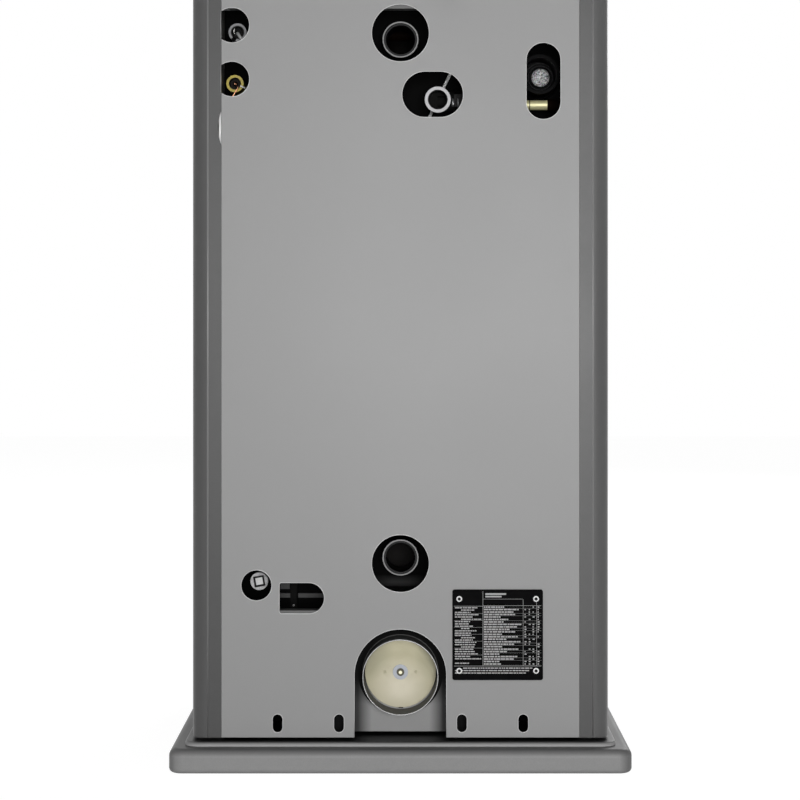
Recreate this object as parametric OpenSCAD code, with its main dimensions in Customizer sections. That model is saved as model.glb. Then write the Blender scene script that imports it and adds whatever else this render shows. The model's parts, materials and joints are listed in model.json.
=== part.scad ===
// Free-standing solid-fuel boiler stove on a two-tier plinth.
// The back carries a flat cover with punched openings for the water pipes, the sensor
// sockets, the overheat discharge, the drain and the outside air spigot.
// The front faces -Y, the back +Y, Z is up, the origin lies on the floor under the centre.

/* [Plinth] */
// Reach of the lower tier beyond each side cover
plinth_reach = 28; // [20:1:36]
// Depth of the lower tier
plinth_d = 615; // [600:1:640]
// Height of the lower tier
plinth_low_h = 31.5; // [26:0.5:45]
// Height of the upper tier above the lower one
plinth_step_h = 6; // [5:0.5:12]
// How far the upper tier stands in from the lower one
plinth_step_in = 19; // [14:0.5:21]
// Corner radius of the plinth in plan
plinth_corner = 18; // [14:0.5:30]
// Radius of the upper edge of the lower tier
plinth_nose = 10; // [6:0.5:12]
// Radius of the bottom edge of the lower tier
plinth_foot = 6; // [3:0.5:8]
// Thickness of the plinth walls around its hollow underside
plinth_wall = 26; // [20:1:40]

/* [Casing] */
// Width of each side cover beside the rear cover
cover_w = 38.7; // [36:0.1:44]
// Reach of the rear cover behind the centre
casing_back = 280; // [276:1:290]
// Reach of the front frame before the centre
casing_front = 255; // [252:1:262]
// Height of the covers
casing_h = 1104; // [1096:1:1200]
// Gap between the plinth and the covers
casing_lift = 4.5; // [4:0.5:8]
// Radius of the upright corners of the casing
casing_corner = 20; // [16:0.5:22]
// Thickness of the side covers
side_t = 1.5; // [1.2:0.1:2]
// Thickness of the rear cover
rear_t = 1.5; // [1.2:0.1:2]
// Space from the boiler to the outside of each side cover
boiler_side_gap = 32; // [30:1:38]
// Seam between the rear cover and the side covers
panel_seam = 0.3; // [0.2:0.1:1]
// Depth of the inward fold at the edges of the side covers
fold_d = 10; // [6:0.5:12]
// Height of the finger notch in the edge of the right side cover
notch_h = 44; // [30:1:60]
// Depth of the finger notch
notch_d = 4.5; // [3:0.5:8]
// Middle height of the finger notch
notch_z = 836; // [700:1:860]
// Thickness of the top plate
top_h = 30; // [24:1:40]
// Overhang of the top plate beyond the covers
top_overhang = 15; // [10:1:20]
// Bore of the smoke outlet
flue_bore = 150; // [130:1:160]
// Wall of the smoke outlet collar
flue_wall = 4; // [3:0.5:6]
// Height of the collar above the top plate
flue_rise = 14; // [10:1:40]
// Place of the smoke outlet behind the centre
flue_y = 20; // [10:1:25]

/* [Rear openings] */
// Diameter of the two water pipe openings
port_hole_d = 75; // [70:1:80]
// Width of the discharge slot
wide_slot_w = 80; // [76:1:90]
// Height of the discharge slot
wide_slot_h = 60; // [56:1:66]
// Width of the upright slot at the spare socket
tall_slot_w = 45; // [40:1:50]
// Height of the upright slot
tall_slot_h = 100; // [90:1:110]
// Diameter of the two sensor openings at the cover's edge
sensor_hole_d = 46; // [40:1:50]
// Diameter of the drain opening
drain_hole_d = 40; // [36:1:46]
// Height of the D-shaped opening
d_hole_h = 40.5; // [36:0.5:44]
// Length of the D-shaped opening
d_hole_w = 58.7; // [54:0.1:62]
// Width of the arch around the air spigot
arch_w = 120; // [116:1:126]
// Height of the arch's top above the floor
arch_top = 183; // [180:1:184]
// Width of the four bottom slots
foot_slot_w = 13.5; // [10:0.5:16]
// Height of the four bottom slots
foot_slot_h = 24; // [18:1:26]
// Side of the square data plate
plate_side = 118; // [100:1:124]

/* [Boiler] */
// Width of the water jacket
boiler_w = 480; // [470:1:484]
// Reach of the water jacket before the centre
boiler_front = 215; // [212:1:218]
// Reach of the water jacket behind the centre
boiler_back = 150; // [146:1:154]
// Height of the water jacket's bottom
boiler_z = 212; // [208:1:213]
// Height of the water jacket
boiler_h = 873; // [860:1:880]
// Plate thickness of the water jacket
boiler_t = 4; // [3:0.5:5]
// Water gap at the sides and the back
water_gap = 46; // [40:1:50]
// Height of the firebox roof above the floor
firebox_top = 890; // [860:1:900]
// Outer diameter of the smoke tubes
smoke_tube_d = 60; // [50:1:66]
// Recess of the pipe ends behind the face of the rear cover
pipe_recess = 66; // [60:1:70]
// Outer diameter of the flow and return pipes
pipe_d = 48; // [46:0.5:50]
// Bore of the flow and return pipes
pipe_bore = 40; // [37:0.5:41]
// Height of the flow pipe
flow_z = 959.5; // [956:0.5:962]
// Height of the return pipe
return_z = 268.5; // [266:0.5:270]

/* [Outside air] */
// Outer diameter of the air spigot
spigot_d = 99; // [95:0.5:101]
// Wall of the air spigot
spigot_wall = 1.3; // [1:0.1:2]
// Length of the air spigot
spigot_len = 40; // [34:1:44]
// Height of the air spigot's centre
spigot_z = 120; // [116:1:122]
// Diameter of the air opening behind the spigot
air_hole_d = 93.6; // [88:0.1:94]
// Diameter of the air flap
flap_d = 104; // [100:1:108]
// Full opening angle of the air flap
flap_open = 40; // [30:1:42]
// Pitch of the bead chain
bead_pitch = 4.5; // [4:0.1:5]
// Bead diameter of the chain
bead_d = 3.8; // [3:0.1:4]

/* [Front] */
// Thickness of the front frame
front_t = 12; // [8:1:14]
// Distance of the fire opening from the inner plates at its sides
fire_jamb = 25; // [20:1:32]
// Height of the fire opening
fire_h = 470; // [440:1:480]
// Height of the fire opening's sill
fire_z = 340; // [336:1:346]
// Overlap of the fire door around its opening
door_lap = 18; // [14:1:20]
// Thickness of the fire door
door_t = 16; // [12:1:18]
// Width of the ash drawer
drawer_w = 296; // [280:1:300]
// Height of the ash drawer
drawer_h = 88; // [70:1:96]
// Travel of the shaker
shaker_travel = 25; // [15:1:26]

/* [Hidden] */
$fn = 48;
// Overrun of every cut, and the small gap left at welded and seated joints
cut = 1;
seat_gap = 0.2;
run_gap = 0.1;
face_gap = 0.3;

plinth_h = plinth_low_h + plinth_step_h;
plinth_skin = 8;
plinth_step_nose = 3;
plinth_edge = 2;
casing_z = plinth_h + casing_lift;
casing_top = casing_z + casing_h;
casing_w = boiler_w + 2 * boiler_side_gap;
panel_w = casing_w - 2 * (panel_seam + cover_w);
plinth_w = casing_w + 2 * plinth_reach;
side_x = casing_w / 2;
flange_x = panel_w / 2 + panel_seam;
rear_in = casing_back - rear_t;
front_in = casing_front - front_t;

// Chassis bars, posts and rails
frame_bar_h = 12;
frame_bar_w = 42;
frame_cross_w = 32;
frame_side_gap = 1.5;
frame_x = side_x - side_t - frame_side_gap;
frame_top = plinth_h + frame_bar_h;
rail_y = casing_back - casing_corner;
post_leg = 22;
post_t = 2;
post_in = 8;
post_x = side_x - post_in;
rail_t = 1.5;
rail_end = 10;
upper_rail_z = 991.5;
upper_rail_h = 22;
lower_rail_z = 187;
lower_rail_h = 20;

// Top plate and smoke outlet
top_corner = 22;
top_nose = 10;
top_foot = 6;
top_z = casing_top + top_h;
flue_r = flue_bore / 2;
flue_flange_w = 14;
flue_flange_h = 4;
smoke_box_t = 3;
smoke_box_lip = 70;
smoke_box_back = 20;
smoke_box_front = 15;

// Water jacket and firebox
boiler_x = boiler_w / 2;
boiler_top = boiler_z + boiler_h;
jacket_t = 5;
jacket_x = boiler_x - boiler_t - water_gap;
fire_w = 2 * (jacket_x - fire_jamb);
jacket_back = boiler_back - boiler_t - water_gap;
jacket_front = boiler_front - boiler_t;
fire_top = fire_z + fire_h;
smoke_tube_wall = 3;
smoke_tube_pitch_x = 110;
smoke_tube_pitch_y = 90;
smoke_tube_y = -95;
pipe_end = casing_back - pipe_recess;
insulation_t = 18;
insulation_edge = 10;

// Small sockets of the water side: place across, height, outside and bore
probe_in = 22.6;
probe_x = boiler_x - probe_in;
probe_z = 969.1;
probe_od = 24;
probe_bore = 16;
bulb_in = 19.1;
bulb_x = boiler_x - bulb_in;
bulb_z = 900.8;
bulb_od = 23;
bulb_bore = 15.4;
drain_in = 51.5;
drain_x = boiler_x - drain_in;
drain_z = 236.9;
drain_od = 23.4;
drain_bore = 17;
drain_square = 10.2;
drain_recess = 14;
drain_turn = 10;
drain_cap_t = 9;
spare_in = 54.1;
spare_x = spare_in - boiler_x;
spare_z = 913.4;
spare_od = 53;
spare_bore = 45;
spare_disc_d = 23.5;
spare_disc_y = 174;
spare_plug_t = 12;
pocket_d = 9;
pocket_reach = 40;
pocket_stub = 6;
capillary_d = 1.8;
clip_d = 2;
probe_clip_turn = 130;
bulb_clip_turn = 155;

// Overheat discharge line and its coil
elbow_x = -49.6;
elbow_z = 878.9;
elbow_od = 34.5;
elbow_bore = 25.4;
elbow_end = 220;
arm_y = 192;
arm_r = 13;
arm_reach = 22;
nut_r = 15;
nut_len = 12;
nut_ring = 16.5;
nut_ring_len = 4;
line_r = 7.5;
line_drop = 4.7;
line_short = 22.9;
line_end_x = spare_x + line_short;
coupling_r = 6.7;
coupling_past = 11.2;
coupling_x = spare_x - coupling_past;
coupling_nut_r = 7.4;
coupling_nut_len = 6;
coil_r = 8;
coil_wall = 1.5;
coil_runs = 5;
coil_pitch = 34;
coil_y = 80;
coil_in = 80;
coil_half = boiler_x - coil_in;
stub_bend = 20;
stub_x = coupling_x - face_gap - stub_bend;
stub_z = elbow_z - line_drop;
coil_z = stub_z + 2 * stub_bend + coil_wall;
inlet_x = 90;
inlet_z = coil_z + (coil_runs - 1) * coil_pitch;
inlet_hole_r = 24;
inlet_od = 26;

// Rear cover openings
wide_slot_x = -42;
wide_slot_z = 879.5;
tall_slot_shift = 0.5;
tall_slot_x = spare_x - tall_slot_shift;
tall_slot_z = 897;
sensor_hole_shift = 2.1;
sensor_hole_x = probe_x + sensor_hole_shift;
sensor_hole_z = 969.7;
sensor_hole_low_z = 899.5;
drain_hole_shift = 1;
drain_hole_x = drain_x - drain_hole_shift;
drain_hole_z = 240;
d_hole_x = 128.45;
d_hole_z = 223.3;
d_hole_round = 3;
foot_slot_x = 80;
foot_slot_z = 60.4;
plate_x = -126.6;
plate_z = 175.8;
plate_t = 1.2;
plate_round = 3;
plate_rivet_in = 9;
plate_rivet_down = 12.2;
rivet_d = 7.5;
rivet_h = 1.4;
rivet_eye_d = 3;

// Air box, spigot and flap
box_t = 2;
box_x = 90;
box_top = 222;
box_back = casing_back - spigot_len;
spigot_r = spigot_d / 2;
spigot_flange_w = 6.5;
spigot_flange_t = 1.5;
flap_t = 2;
flap_r = flap_d / 2;
flap_y = box_back - box_t - face_gap - flap_t;
hinge_r = 3;
hinge_y = box_back - box_t - 2 * hinge_r;
hinge_z = spigot_z + flap_r + 4 * hinge_r;
ear_t = 4;
ear_x = flap_r + ear_t;
ear_r = 2 * hinge_r;
hinge_half = ear_x + 1.5 * ear_t;
arm_w = 18;
arm_t = 3;
arm_tail = 15;
washer_r = 10;
washer_t = 1;
bolt_r = 4.75;
bolt_h = 3;
bolt_shank_r = 2.5;
bolt_key_r = 2;
flap_rivet_x = 20.5;
flap_rivet_r = 2;
flap_rivet_h = 1;

// Chain: its plane, its slope and the point where it turns upright
chain_y = 165;
chain_slope = 25.7;
chain_turn_x = 45.4;
chain_turn_z = 685;
chain_lever = hinge_y - chain_y;
chain_lift = 2 * chain_lever * tan(flap_open / 2);
lever_w = 14;
lever_t = 2;
lever_slot_w = 5;
lever_tip = 11;
wire_r = 0.5;
stop_r = 3.5;
stop_h = 5;
stop_gap = 0.6;
chain_hole_r = 6;
guide_r = 5.2;
guide_bore_r = 2.9;
guide_spare = 20;
guide_leg = chain_lift + guide_spare;
guide_bend = 20;
guide_foot_w = 20;
guide_foot_h = 30;
guide_foot_t = 2;
guide_tuck = 6;
guide_sleeve_t = 1.5;

// Draught regulator: socket, neck, body and knob on one axis along Y
reg_arm = 63;
reg_swing = atan(chain_lift / 2 / reg_arm);
reg_along = 347.3;
reg_neck_r = 12;
reg_hex_r = 18;
reg_hex_len = 8;
reg_body_r = 17;
reg_body_end = 252;
reg_socket_r = 20;
reg_socket_len = 5;
reg_neck_len = 20;
reg_knob_len = 50;
reg_key_len = 18;
reg_knob_r = 24;
reg_knob_flutes = 12;
reg_flute_r = 3;
reg_spindle_r = 4;
reg_hole_r = 28;
reg_hub_r = 18;
reg_hub_t = 5;
reg_hub_gap = 1;
reg_hub_y = boiler_back + reg_socket_len + reg_hub_gap;

// Chain direction up the slope, and the regulator's axis at right angles to it
slope_x = -sin(chain_slope);
slope_z = cos(chain_slope);
grip_x = chain_turn_x + slope_x * (reg_along + chain_lift / 2);
grip_z = chain_turn_z + slope_z * (reg_along + chain_lift / 2);
reg_x = grip_x + reg_arm * slope_z;
reg_z = grip_z - reg_arm * slope_x;

// Ash way and drawer
ash_t = 3;
ash_x = boiler_x;
drawer_side_gap = 7;
ash_door_w = drawer_w + 2 * drawer_side_gap;
ash_door_z = 58;
ash_door_h = 132;
runner_x = 110;
runner_w = 20;
runner_h = 9.7;
drawer_t = 1.5;
drawer_back = 110;
drawer_z = frame_top + ash_t + runner_h + face_gap;
drawer_lap = 10;
drawer_face_w = ash_door_w + 2 * drawer_lap;
drawer_face_h = 148;
drawer_face_z = 50;
drawer_face_t = 12;
drawer_face_round = 8;
drawer_knob_r = 14;
drawer_knob_len = 24;
drawer_stem_r = 6;
air_way_w = 140;
air_way_z = 70;
air_way_h = 100;

// Fire door
collar_t = 8;
door_gap = 3;
door_w = fire_w + 2 * door_lap;
door_h = fire_h + 2 * door_lap;
door_z = fire_z - door_lap;
door_back = casing_front + door_gap;
door_face = door_back + door_t;
door_round = 12;
door_rim_w = 14;
door_rim_t = 3;
window_in = 52;
window_w = door_w - 2 * window_in;
window_h = door_h - 2 * window_in;
window_rise = 36;
glass_t = 4;
glass_lap = 9;
glass_seat = 5;
gasket_w = 8;
gasket_in = 9;
gasket_groove = 4;
keeper_w = 24;
keeper_h = 12;
keeper_t = 1.5;
keeper_lap = 5;
keeper_screw_r = 3;
pin_r = 4;
pin_head_r = 6.5;
pin_head_h = 4;
knuckle_r = 8;
knuckle_h = 22;
lug_h = 18;
hinge_out = 12;
door_axis_x = -(door_w / 2 + hinge_out);
door_axis_y = -(door_back + door_t / 2);
hinge_inset = 60;
door_hinge_low = door_z + hinge_inset;
door_hinge_high = door_z + door_h - hinge_inset - knuckle_h;
handle_in = 34;
handle_x = door_w / 2 - handle_in;
handle_z = door_z + door_h / 2;
handle_spindle_r = 6;
handle_len = 130;
handle_r = 7;
handle_boss_r = 14;
handle_boss_len = 9;
latch_t = 5;
latch_len = 14;
latch_w = 6;
handle_turn = 45;
catch_reach = 7.5;
catch_t = 6;
catch_h = 6;
catch_in = 3;

// Grate, shaker and hearth
hearth_t = 16;
sill_drop = 34;
hearth_top = fire_z - sill_drop;
hearth_z = hearth_top - hearth_t;
ledge_w = 12;
ledge_h = 6;
grate_w = 168;
grate_front = 110;
grate_back = 40;
grate_rim = 12;
grate_bars = 6;
grate_bar_w = 9;
grate_seat = 8;
grate_ledge_h = 5;
shaker_r = 4.5;
shaker_hole_r = 6;
shaker_z = hearth_top - shaker_hole_r;
shaker_end = 284;
shaker_knob_r = 11;
shaker_knob_t = 12;
liner_t = 12;
liner_h = 220;
liner_front = 6;
baffle_t = 25;
baffle_z = 790;
baffle_front = 120;

// Thermometer and secondary air slide
gauge_z = 1010;
gauge_r = 36;
gauge_rim = 5;
gauge_lip = 3;
gauge_out = 9;
gauge_deep = 20;
gauge_dish = 7;
gauge_stud_r = 1;
needle_len = 24;
needle_w = 5;
needle_t = 1.2;
needle_hub_r = 3.5;
needle_rest = 120;
capillary_off = 3;
capillary_y = boiler_front + capillary_off;
capillary_x = boiler_x + insulation_t + (frame_x - boiler_x - insulation_t) / 2;
slide_z = 905;
slide_w = 240;
slide_h = 34;
slide_t = 2.5;
slide_travel = 20;
slide_knob_r = 9;
slide_stem_r = 4;
slide_knob_len = 10;
slide_knob_gap = 3;
slide_pitch = 44;
slide_port_w = 20;
slide_port_h = 14;
channel_lip = 4;
channel_wall = 3;

// A block between its lowest and its highest corner
module span_box(lo, hi) {
  translate(lo)
    cube(hi - lo);
}

module rod_x(r, x0, x1, y, z) {
  translate([x0, y, z])
    rotate([0, 90, 0])
      cylinder(r = r, h = x1 - x0);
}

module rod_y(r, y0, y1, x, z) {
  translate([x, y0, z])
    rotate([-90, 0, 0])
      cylinder(r = r, h = y1 - y0);
}

module rod_z(r, z0, z1, x, y) {
  translate([x, y, z0])
    cylinder(r = r, h = z1 - z0);
}

module tube_y(r, bore, y0, y1, x, z) {
  difference() {
    rod_y(r, y0, y1, x, z);
    rod_y(bore, y0 - cut, y1 + cut, x, z);
  }
}

// An outline drawn in X and Z, as thick as t, whose rear face lies at y_back
module sheet_xz(y_back, t) {
  translate([0, y_back, 0])
    rotate([90, 0, 0])
      linear_extrude(t)
        children();
}

module both_sides() {
  children();
  mirror([1, 0, 0])
    children();
}

module stadium(w, h) {
  r = min(w, h) / 2;
  square([w > h ? w - h : w, w > h ? h : h - w], center = true);
  for (s = [-1, 1])
    translate([s * (w / 2 - r), s * (h / 2 - r)])
      circle(r = r);
}

module round_rect(w, h, r) {
  square([w - 2 * r, h], center = true);
  square([w, h - 2 * r], center = true);
  for (sx = [-1, 1], sz = [-1, 1])
    translate([sx * (w / 2 - r), sz * (h / 2 - r)])
      circle(r = r);
}

// A rectangle whose top edge is one shallow arc, standing on z = 0
module arched(w, h, rise) {
  r = (w * w / 4 + rise * rise) / (2 * rise);
  intersection() {
    translate([-w / 2, 0])
      square([w, h]);
    translate([0, h - r])
      circle(r = r, $fn = 96);
  }
}

// Half section of a slab edge, with a rounded upper edge and a rounded lower one
module nose_section(reach, h, top_r, foot_r) {
  intersection() {
    square([reach, h]);
    union() {
      translate([0, foot_r])
        square([reach, h - foot_r - top_r]);
      square([reach - foot_r, foot_r]);
      translate([0, h - top_r])
        square([reach - top_r, top_r]);
      translate([reach - foot_r, foot_r])
        circle(r = foot_r);
      translate([reach - top_r, h - top_r])
        circle(r = top_r);
    }
  }
}

// A slab with round corners in plan and noses all round, standing on z = 0
module nosed_slab(w, d, h, corner, top_r, foot_r) {
  x = w / 2 - corner;
  y = d / 2 - corner;
  translate([-x, -y, 0])
    cube([2 * x, 2 * y, h]);
  for (mx = [0, 1], my = [0, 1])
    mirror([mx, 0, 0])
      mirror([0, my, 0])
        translate([x, y, 0])
          rotate_extrude(angle = 90)
            nose_section(corner, h, top_r, foot_r);
  both_sides()
    translate([x, y, 0])
      rotate([90, 0, 0])
        linear_extrude(2 * y)
          nose_section(corner, h, top_r, foot_r);
  for (my = [0, 1])
    mirror([0, my, 0])
      translate([-x, y, 0])
        rotate([90, 0, 90])
          linear_extrude(2 * x)
            nose_section(corner, h, top_r, foot_r);
}

// Stand and casing

module base_plinth() {
  in = plinth_wall;
  color([0.5, 0.5, 0.5])
    difference() {
      union() {
        nosed_slab(plinth_w, plinth_d, plinth_low_h, plinth_corner, plinth_nose, plinth_foot);
        translate([0, 0, plinth_low_h - plinth_edge])
          nosed_slab(plinth_w - 2 * plinth_step_in, plinth_d - 2 * plinth_step_in,
            plinth_step_h + plinth_edge, plinth_corner, plinth_step_nose, plinth_edge);
      }
      for (sx = [-1, 1], sy = [-1, 1])
        translate([sx * (plinth_w - in) / 4, sy * (plinth_d - in) / 4, -cut])
          translate([-(plinth_w - 3 * in) / 4, -(plinth_d - 3 * in) / 4, 0])
            cube([(plinth_w - 3 * in) / 2, (plinth_d - 3 * in) / 2, plinth_low_h - plinth_skin + cut]);
    }
}

// Two side bars and two cross bars, with an upright angle at each corner
module chassis_frame() {
  color([0.2, 0.2, 0.2])
    union() {
      both_sides()
        span_box([frame_x - frame_bar_w, -front_in, plinth_h], [frame_x, rail_y, frame_top]);
      span_box([-frame_x, -front_in, plinth_h], [frame_x, -front_in + frame_cross_w, frame_top]);
      span_box([-frame_x, boiler_back - frame_cross_w - post_t, plinth_h],
        [frame_x, boiler_back - post_t, frame_top]);
      both_sides()
        corner_posts();
    }
}

module corner_posts() {
  span_box([post_x - post_leg, rail_y - post_t, plinth_h], [post_x, rail_y, casing_top]);
  span_box([post_x - post_t, rail_y - post_leg, plinth_h], [post_x, rail_y, casing_top]);
  span_box([post_x - post_leg, -front_in, plinth_h], [post_x, -front_in + post_t, casing_top]);
  span_box([post_x - post_t, -front_in, plinth_h], [post_x, -front_in + post_leg, casing_top]);
}

// A folded rail behind the rear cover, open to the front, with an end tab on each post
module cross_rail(z, h) {
  x = flange_x - rail_end;
  span_box([-x, rear_in - rail_t, z], [x, rear_in, z + h]);
  span_box([-x, rail_y, z], [x, rear_in, z + rail_t]);
  span_box([-x, rail_y, z + h - rail_t], [x, rear_in, z + h]);
  both_sides()
    span_box([x - rail_end, rail_y, z], [post_x - post_t, rail_y + rail_t, z + h]);
}

module cross_rails() {
  color([0.45, 0.45, 0.45])
    union() {
      cross_rail(upper_rail_z, upper_rail_h);
      cross_rail(lower_rail_z, lower_rail_h);
    }
}

// Opening with one round end towards the centre and one square end
module d_hole() {
  r = d_hole_h / 2;
  translate([d_hole_x - d_hole_w / 2 + r, d_hole_z])
    circle(r = r);
  translate([d_hole_x - d_hole_w / 2 + r, d_hole_z - r])
    square([d_hole_w - r - d_hole_round, d_hole_h]);
  translate([d_hole_x - d_hole_w / 2 + r, d_hole_z - r + d_hole_round])
    square([d_hole_w - r, d_hole_h - 2 * d_hole_round]);
  for (s = [-1, 1])
    translate([d_hole_x + d_hole_w / 2 - d_hole_round, d_hole_z + s * (r - d_hole_round)])
      circle(r = d_hole_round);
}

module rear_openings() {
  for (z = [flow_z, return_z])
    translate([0, z])
      circle(d = port_hole_d);
  translate([wide_slot_x, wide_slot_z])
    stadium(wide_slot_w, wide_slot_h);
  translate([tall_slot_x, tall_slot_z])
    stadium(tall_slot_w, tall_slot_h);
  for (z = [sensor_hole_z, sensor_hole_low_z])
    translate([sensor_hole_x, z])
      circle(d = sensor_hole_d);
  translate([drain_hole_x, drain_hole_z])
    circle(d = drain_hole_d);
  d_hole();
  translate([0, arch_top - arch_w / 2])
    circle(d = arch_w);
  translate([-arch_w / 2, casing_z - cut])
    square([arch_w, arch_top - arch_w / 2 - casing_z + cut]);
  for (s = [-1, 1], k = [1, 2])
    translate([s * k * foot_slot_x, foot_slot_z])
      stadium(foot_slot_w, foot_slot_h);
  translate([reg_x, reg_z])
    circle(r = reg_hole_r);
  translate([inlet_x, inlet_z])
    circle(r = inlet_hole_r);
}

module rear_panel() {
  color([0.63, 0.63, 0.63])
    sheet_xz(casing_back, rear_t)
      difference() {
        translate([-panel_w / 2, casing_z])
          square([panel_w, casing_h]);
        rear_openings();
      }
}

// Plan section of the side cover on the +X side
module side_section() {
  r = casing_corner;
  translate([side_x - side_t, -casing_front + r])
    square([side_t, casing_back + casing_front - 2 * r]);
  for (end = [0, 1])
    translate([side_x - r, end == 1 ? casing_back - r : -casing_front + r])
      rotate(end == 1 ? 0 : -90)
        intersection() {
          difference() {
            circle(r = r);
            circle(r = r - side_t);
          }
          square(r);
        }
  translate([flange_x, casing_back - side_t])
    square([side_x - r - flange_x, side_t]);
  translate([flange_x, casing_back - fold_d])
    square([side_t, fold_d]);
  translate([flange_x, -casing_front])
    square([side_x - r - flange_x, side_t]);
  translate([flange_x, -casing_front])
    square([side_t, fold_d]);
}

module side_panel() {
  translate([0, 0, casing_z])
    linear_extrude(casing_h)
      side_section();
}

module side_panel_left() {
  color([0.4, 0.4, 0.41])
    mirror([1, 0, 0])
      side_panel();
}

module side_panel_right() {
  color([0.4, 0.4, 0.41])
    difference() {
      side_panel();
      notch();
    }
}

// Lens-shaped finger notch in the edge of the rear flange
module notch() {
  r = (notch_h * notch_h / 4 + notch_d * notch_d) / (2 * notch_d);
  rod_y(r, rear_in - side_t, casing_back + cut, flange_x + notch_d - r, notch_z);
}

module top_plate() {
  d = casing_back + casing_front + 2 * top_overhang;
  color([0.3, 0.3, 0.31])
    difference() {
      translate([0, (casing_back - casing_front) / 2, casing_top])
        nosed_slab(casing_w + 2 * top_overhang, d, top_h, top_corner, top_nose, top_foot);
      rod_z(flue_r + flue_wall + seat_gap, casing_top - cut, top_z + cut, 0, flue_y);
    }
}

module flue_collar() {
  color([0.15, 0.15, 0.15])
    difference() {
      union() {
        rod_z(flue_r + flue_wall, casing_top - face_gap, top_z + flue_rise, 0, flue_y);
        rod_z(flue_r + flue_wall + flue_flange_w, top_z, top_z + flue_flange_h, 0, flue_y);
      }
      rod_z(flue_r, casing_top - cut, top_z + flue_rise + cut, 0, flue_y);
    }
}

module data_plate() {
  color([0.05, 0.05, 0.05])
    translate([plate_x, 0, plate_z])
      sheet_xz(casing_back + plate_t, plate_t)
        difference() {
          round_rect(plate_side, plate_side, plate_round);
          for (sx = [-1, 1], sz = [-1, 1])
            translate([sx * (plate_side / 2 - plate_rivet_in), sz * (plate_side / 2 - plate_rivet_down)])
              circle(d = rivet_eye_d + 2 * seat_gap);
        }
}

module data_plate_rivets() {
  color([0.8, 0.8, 0.8])
    for (sx = [-1, 1], sz = [-1, 1])
      translate([plate_x + sx * (plate_side / 2 - plate_rivet_in), casing_back,
        plate_z + sz * (plate_side / 2 - plate_rivet_down)])
        rotate([-90, 0, 0])
          rotate_extrude()
            rivet_section();
}

// Half section of a blind rivet with a dished eye
module rivet_section() {
  difference() {
    union() {
      square([rivet_eye_d / 2, plate_t + rivet_h]);
      translate([0, plate_t])
        intersection() {
          square([rivet_d / 2, rivet_h]);
          translate([0, rivet_h - rivet_d])
            circle(r = rivet_d);
        }
    }
    translate([0, plate_t + rivet_h / 2])
      square([rivet_eye_d / 2 - wire_r, rivet_h]);
  }
}

// Water side

module pipe_places() {
  translate([0, 0, flow_z])
    children();
  translate([0, 0, return_z])
    children();
}

// The water jacket's outer plates, each its own sheet with an open weld root between
module boiler_shell() {
  t = boiler_t;
  inner_x = boiler_x - t - seat_gap;
  front_in_y = -jacket_front + seat_gap;
  back_in_y = boiler_back - t - seat_gap;
  color([0.12, 0.12, 0.12]) {
    both_sides()
      span_box([fire_w / 2, -boiler_front, fire_z + seat_gap], [boiler_x, -jacket_front, fire_top]);
    span_box([-boiler_x, -boiler_front, fire_top + seat_gap], [boiler_x, -jacket_front, boiler_top]);
    difference() {
      span_box([-boiler_x, -boiler_front, boiler_z], [boiler_x, -jacket_front, fire_z]);
      rod_y(shaker_hole_r, -boiler_front - cut, -jacket_front + cut, 0, shaker_z);
    }
    difference() {
      span_box([-boiler_x, boiler_back - t, boiler_z], [boiler_x, boiler_back, boiler_top]);
      rear_plate_holes();
    }
    both_sides()
      span_box([boiler_x - t, front_in_y, boiler_z], [boiler_x, back_in_y, boiler_top]);
    difference() {
      span_box([-inner_x, front_in_y, boiler_top - t], [inner_x, back_in_y, boiler_top]);
      smoke_tube_places()
        cylinder(d = smoke_tube_d + 2 * seat_gap, h = boiler_top);
    }
    both_sides()
      span_box([jacket_x + seat_gap, front_in_y, boiler_z], [inner_x, back_in_y, boiler_z + t]);
    span_box([-jacket_x, jacket_back + seat_gap, boiler_z], [jacket_x, back_in_y, boiler_z + t]);
  }
}

module rear_plate_holes() {
  pipe_places()
    rod_y(pipe_bore / 2, boiler_back - boiler_t - cut, boiler_back + cut, 0, 0);
  wall_hole(drain_bore / 2, drain_x, drain_z);
  wall_hole(spare_bore / 2, spare_x, spare_z);
  wall_hole(probe_bore / 2, probe_x, probe_z);
  wall_hole(bulb_bore / 2, bulb_x, bulb_z);
  wall_hole(reg_neck_r, reg_x, reg_z);
  wall_hole(coil_r + seat_gap, inlet_x, inlet_z);
  wall_hole(coil_r + seat_gap, stub_x, stub_z);
}

module wall_hole(r, x, z) {
  rod_y(r, boiler_back - boiler_t - cut, boiler_back + cut, x, z);
}

module smoke_tube_places() {
  for (kx = [-1, 0, 1], ky = [-1, 1])
    translate([kx * smoke_tube_pitch_x, smoke_tube_y + ky * smoke_tube_pitch_y / 2,
      firebox_top - jacket_t - cut])
      children();
}

module smoke_tubes() {
  color([0.15, 0.15, 0.15])
    smoke_tube_places()
      translate([0, 0, cut])
        difference() {
          cylinder(d = smoke_tube_d, h = boiler_top - firebox_top + jacket_t);
          translate([0, 0, -cut])
            cylinder(d = smoke_tube_d - 2 * smoke_tube_wall,
              h = boiler_top - firebox_top + jacket_t + 2 * cut);
        }
}

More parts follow.
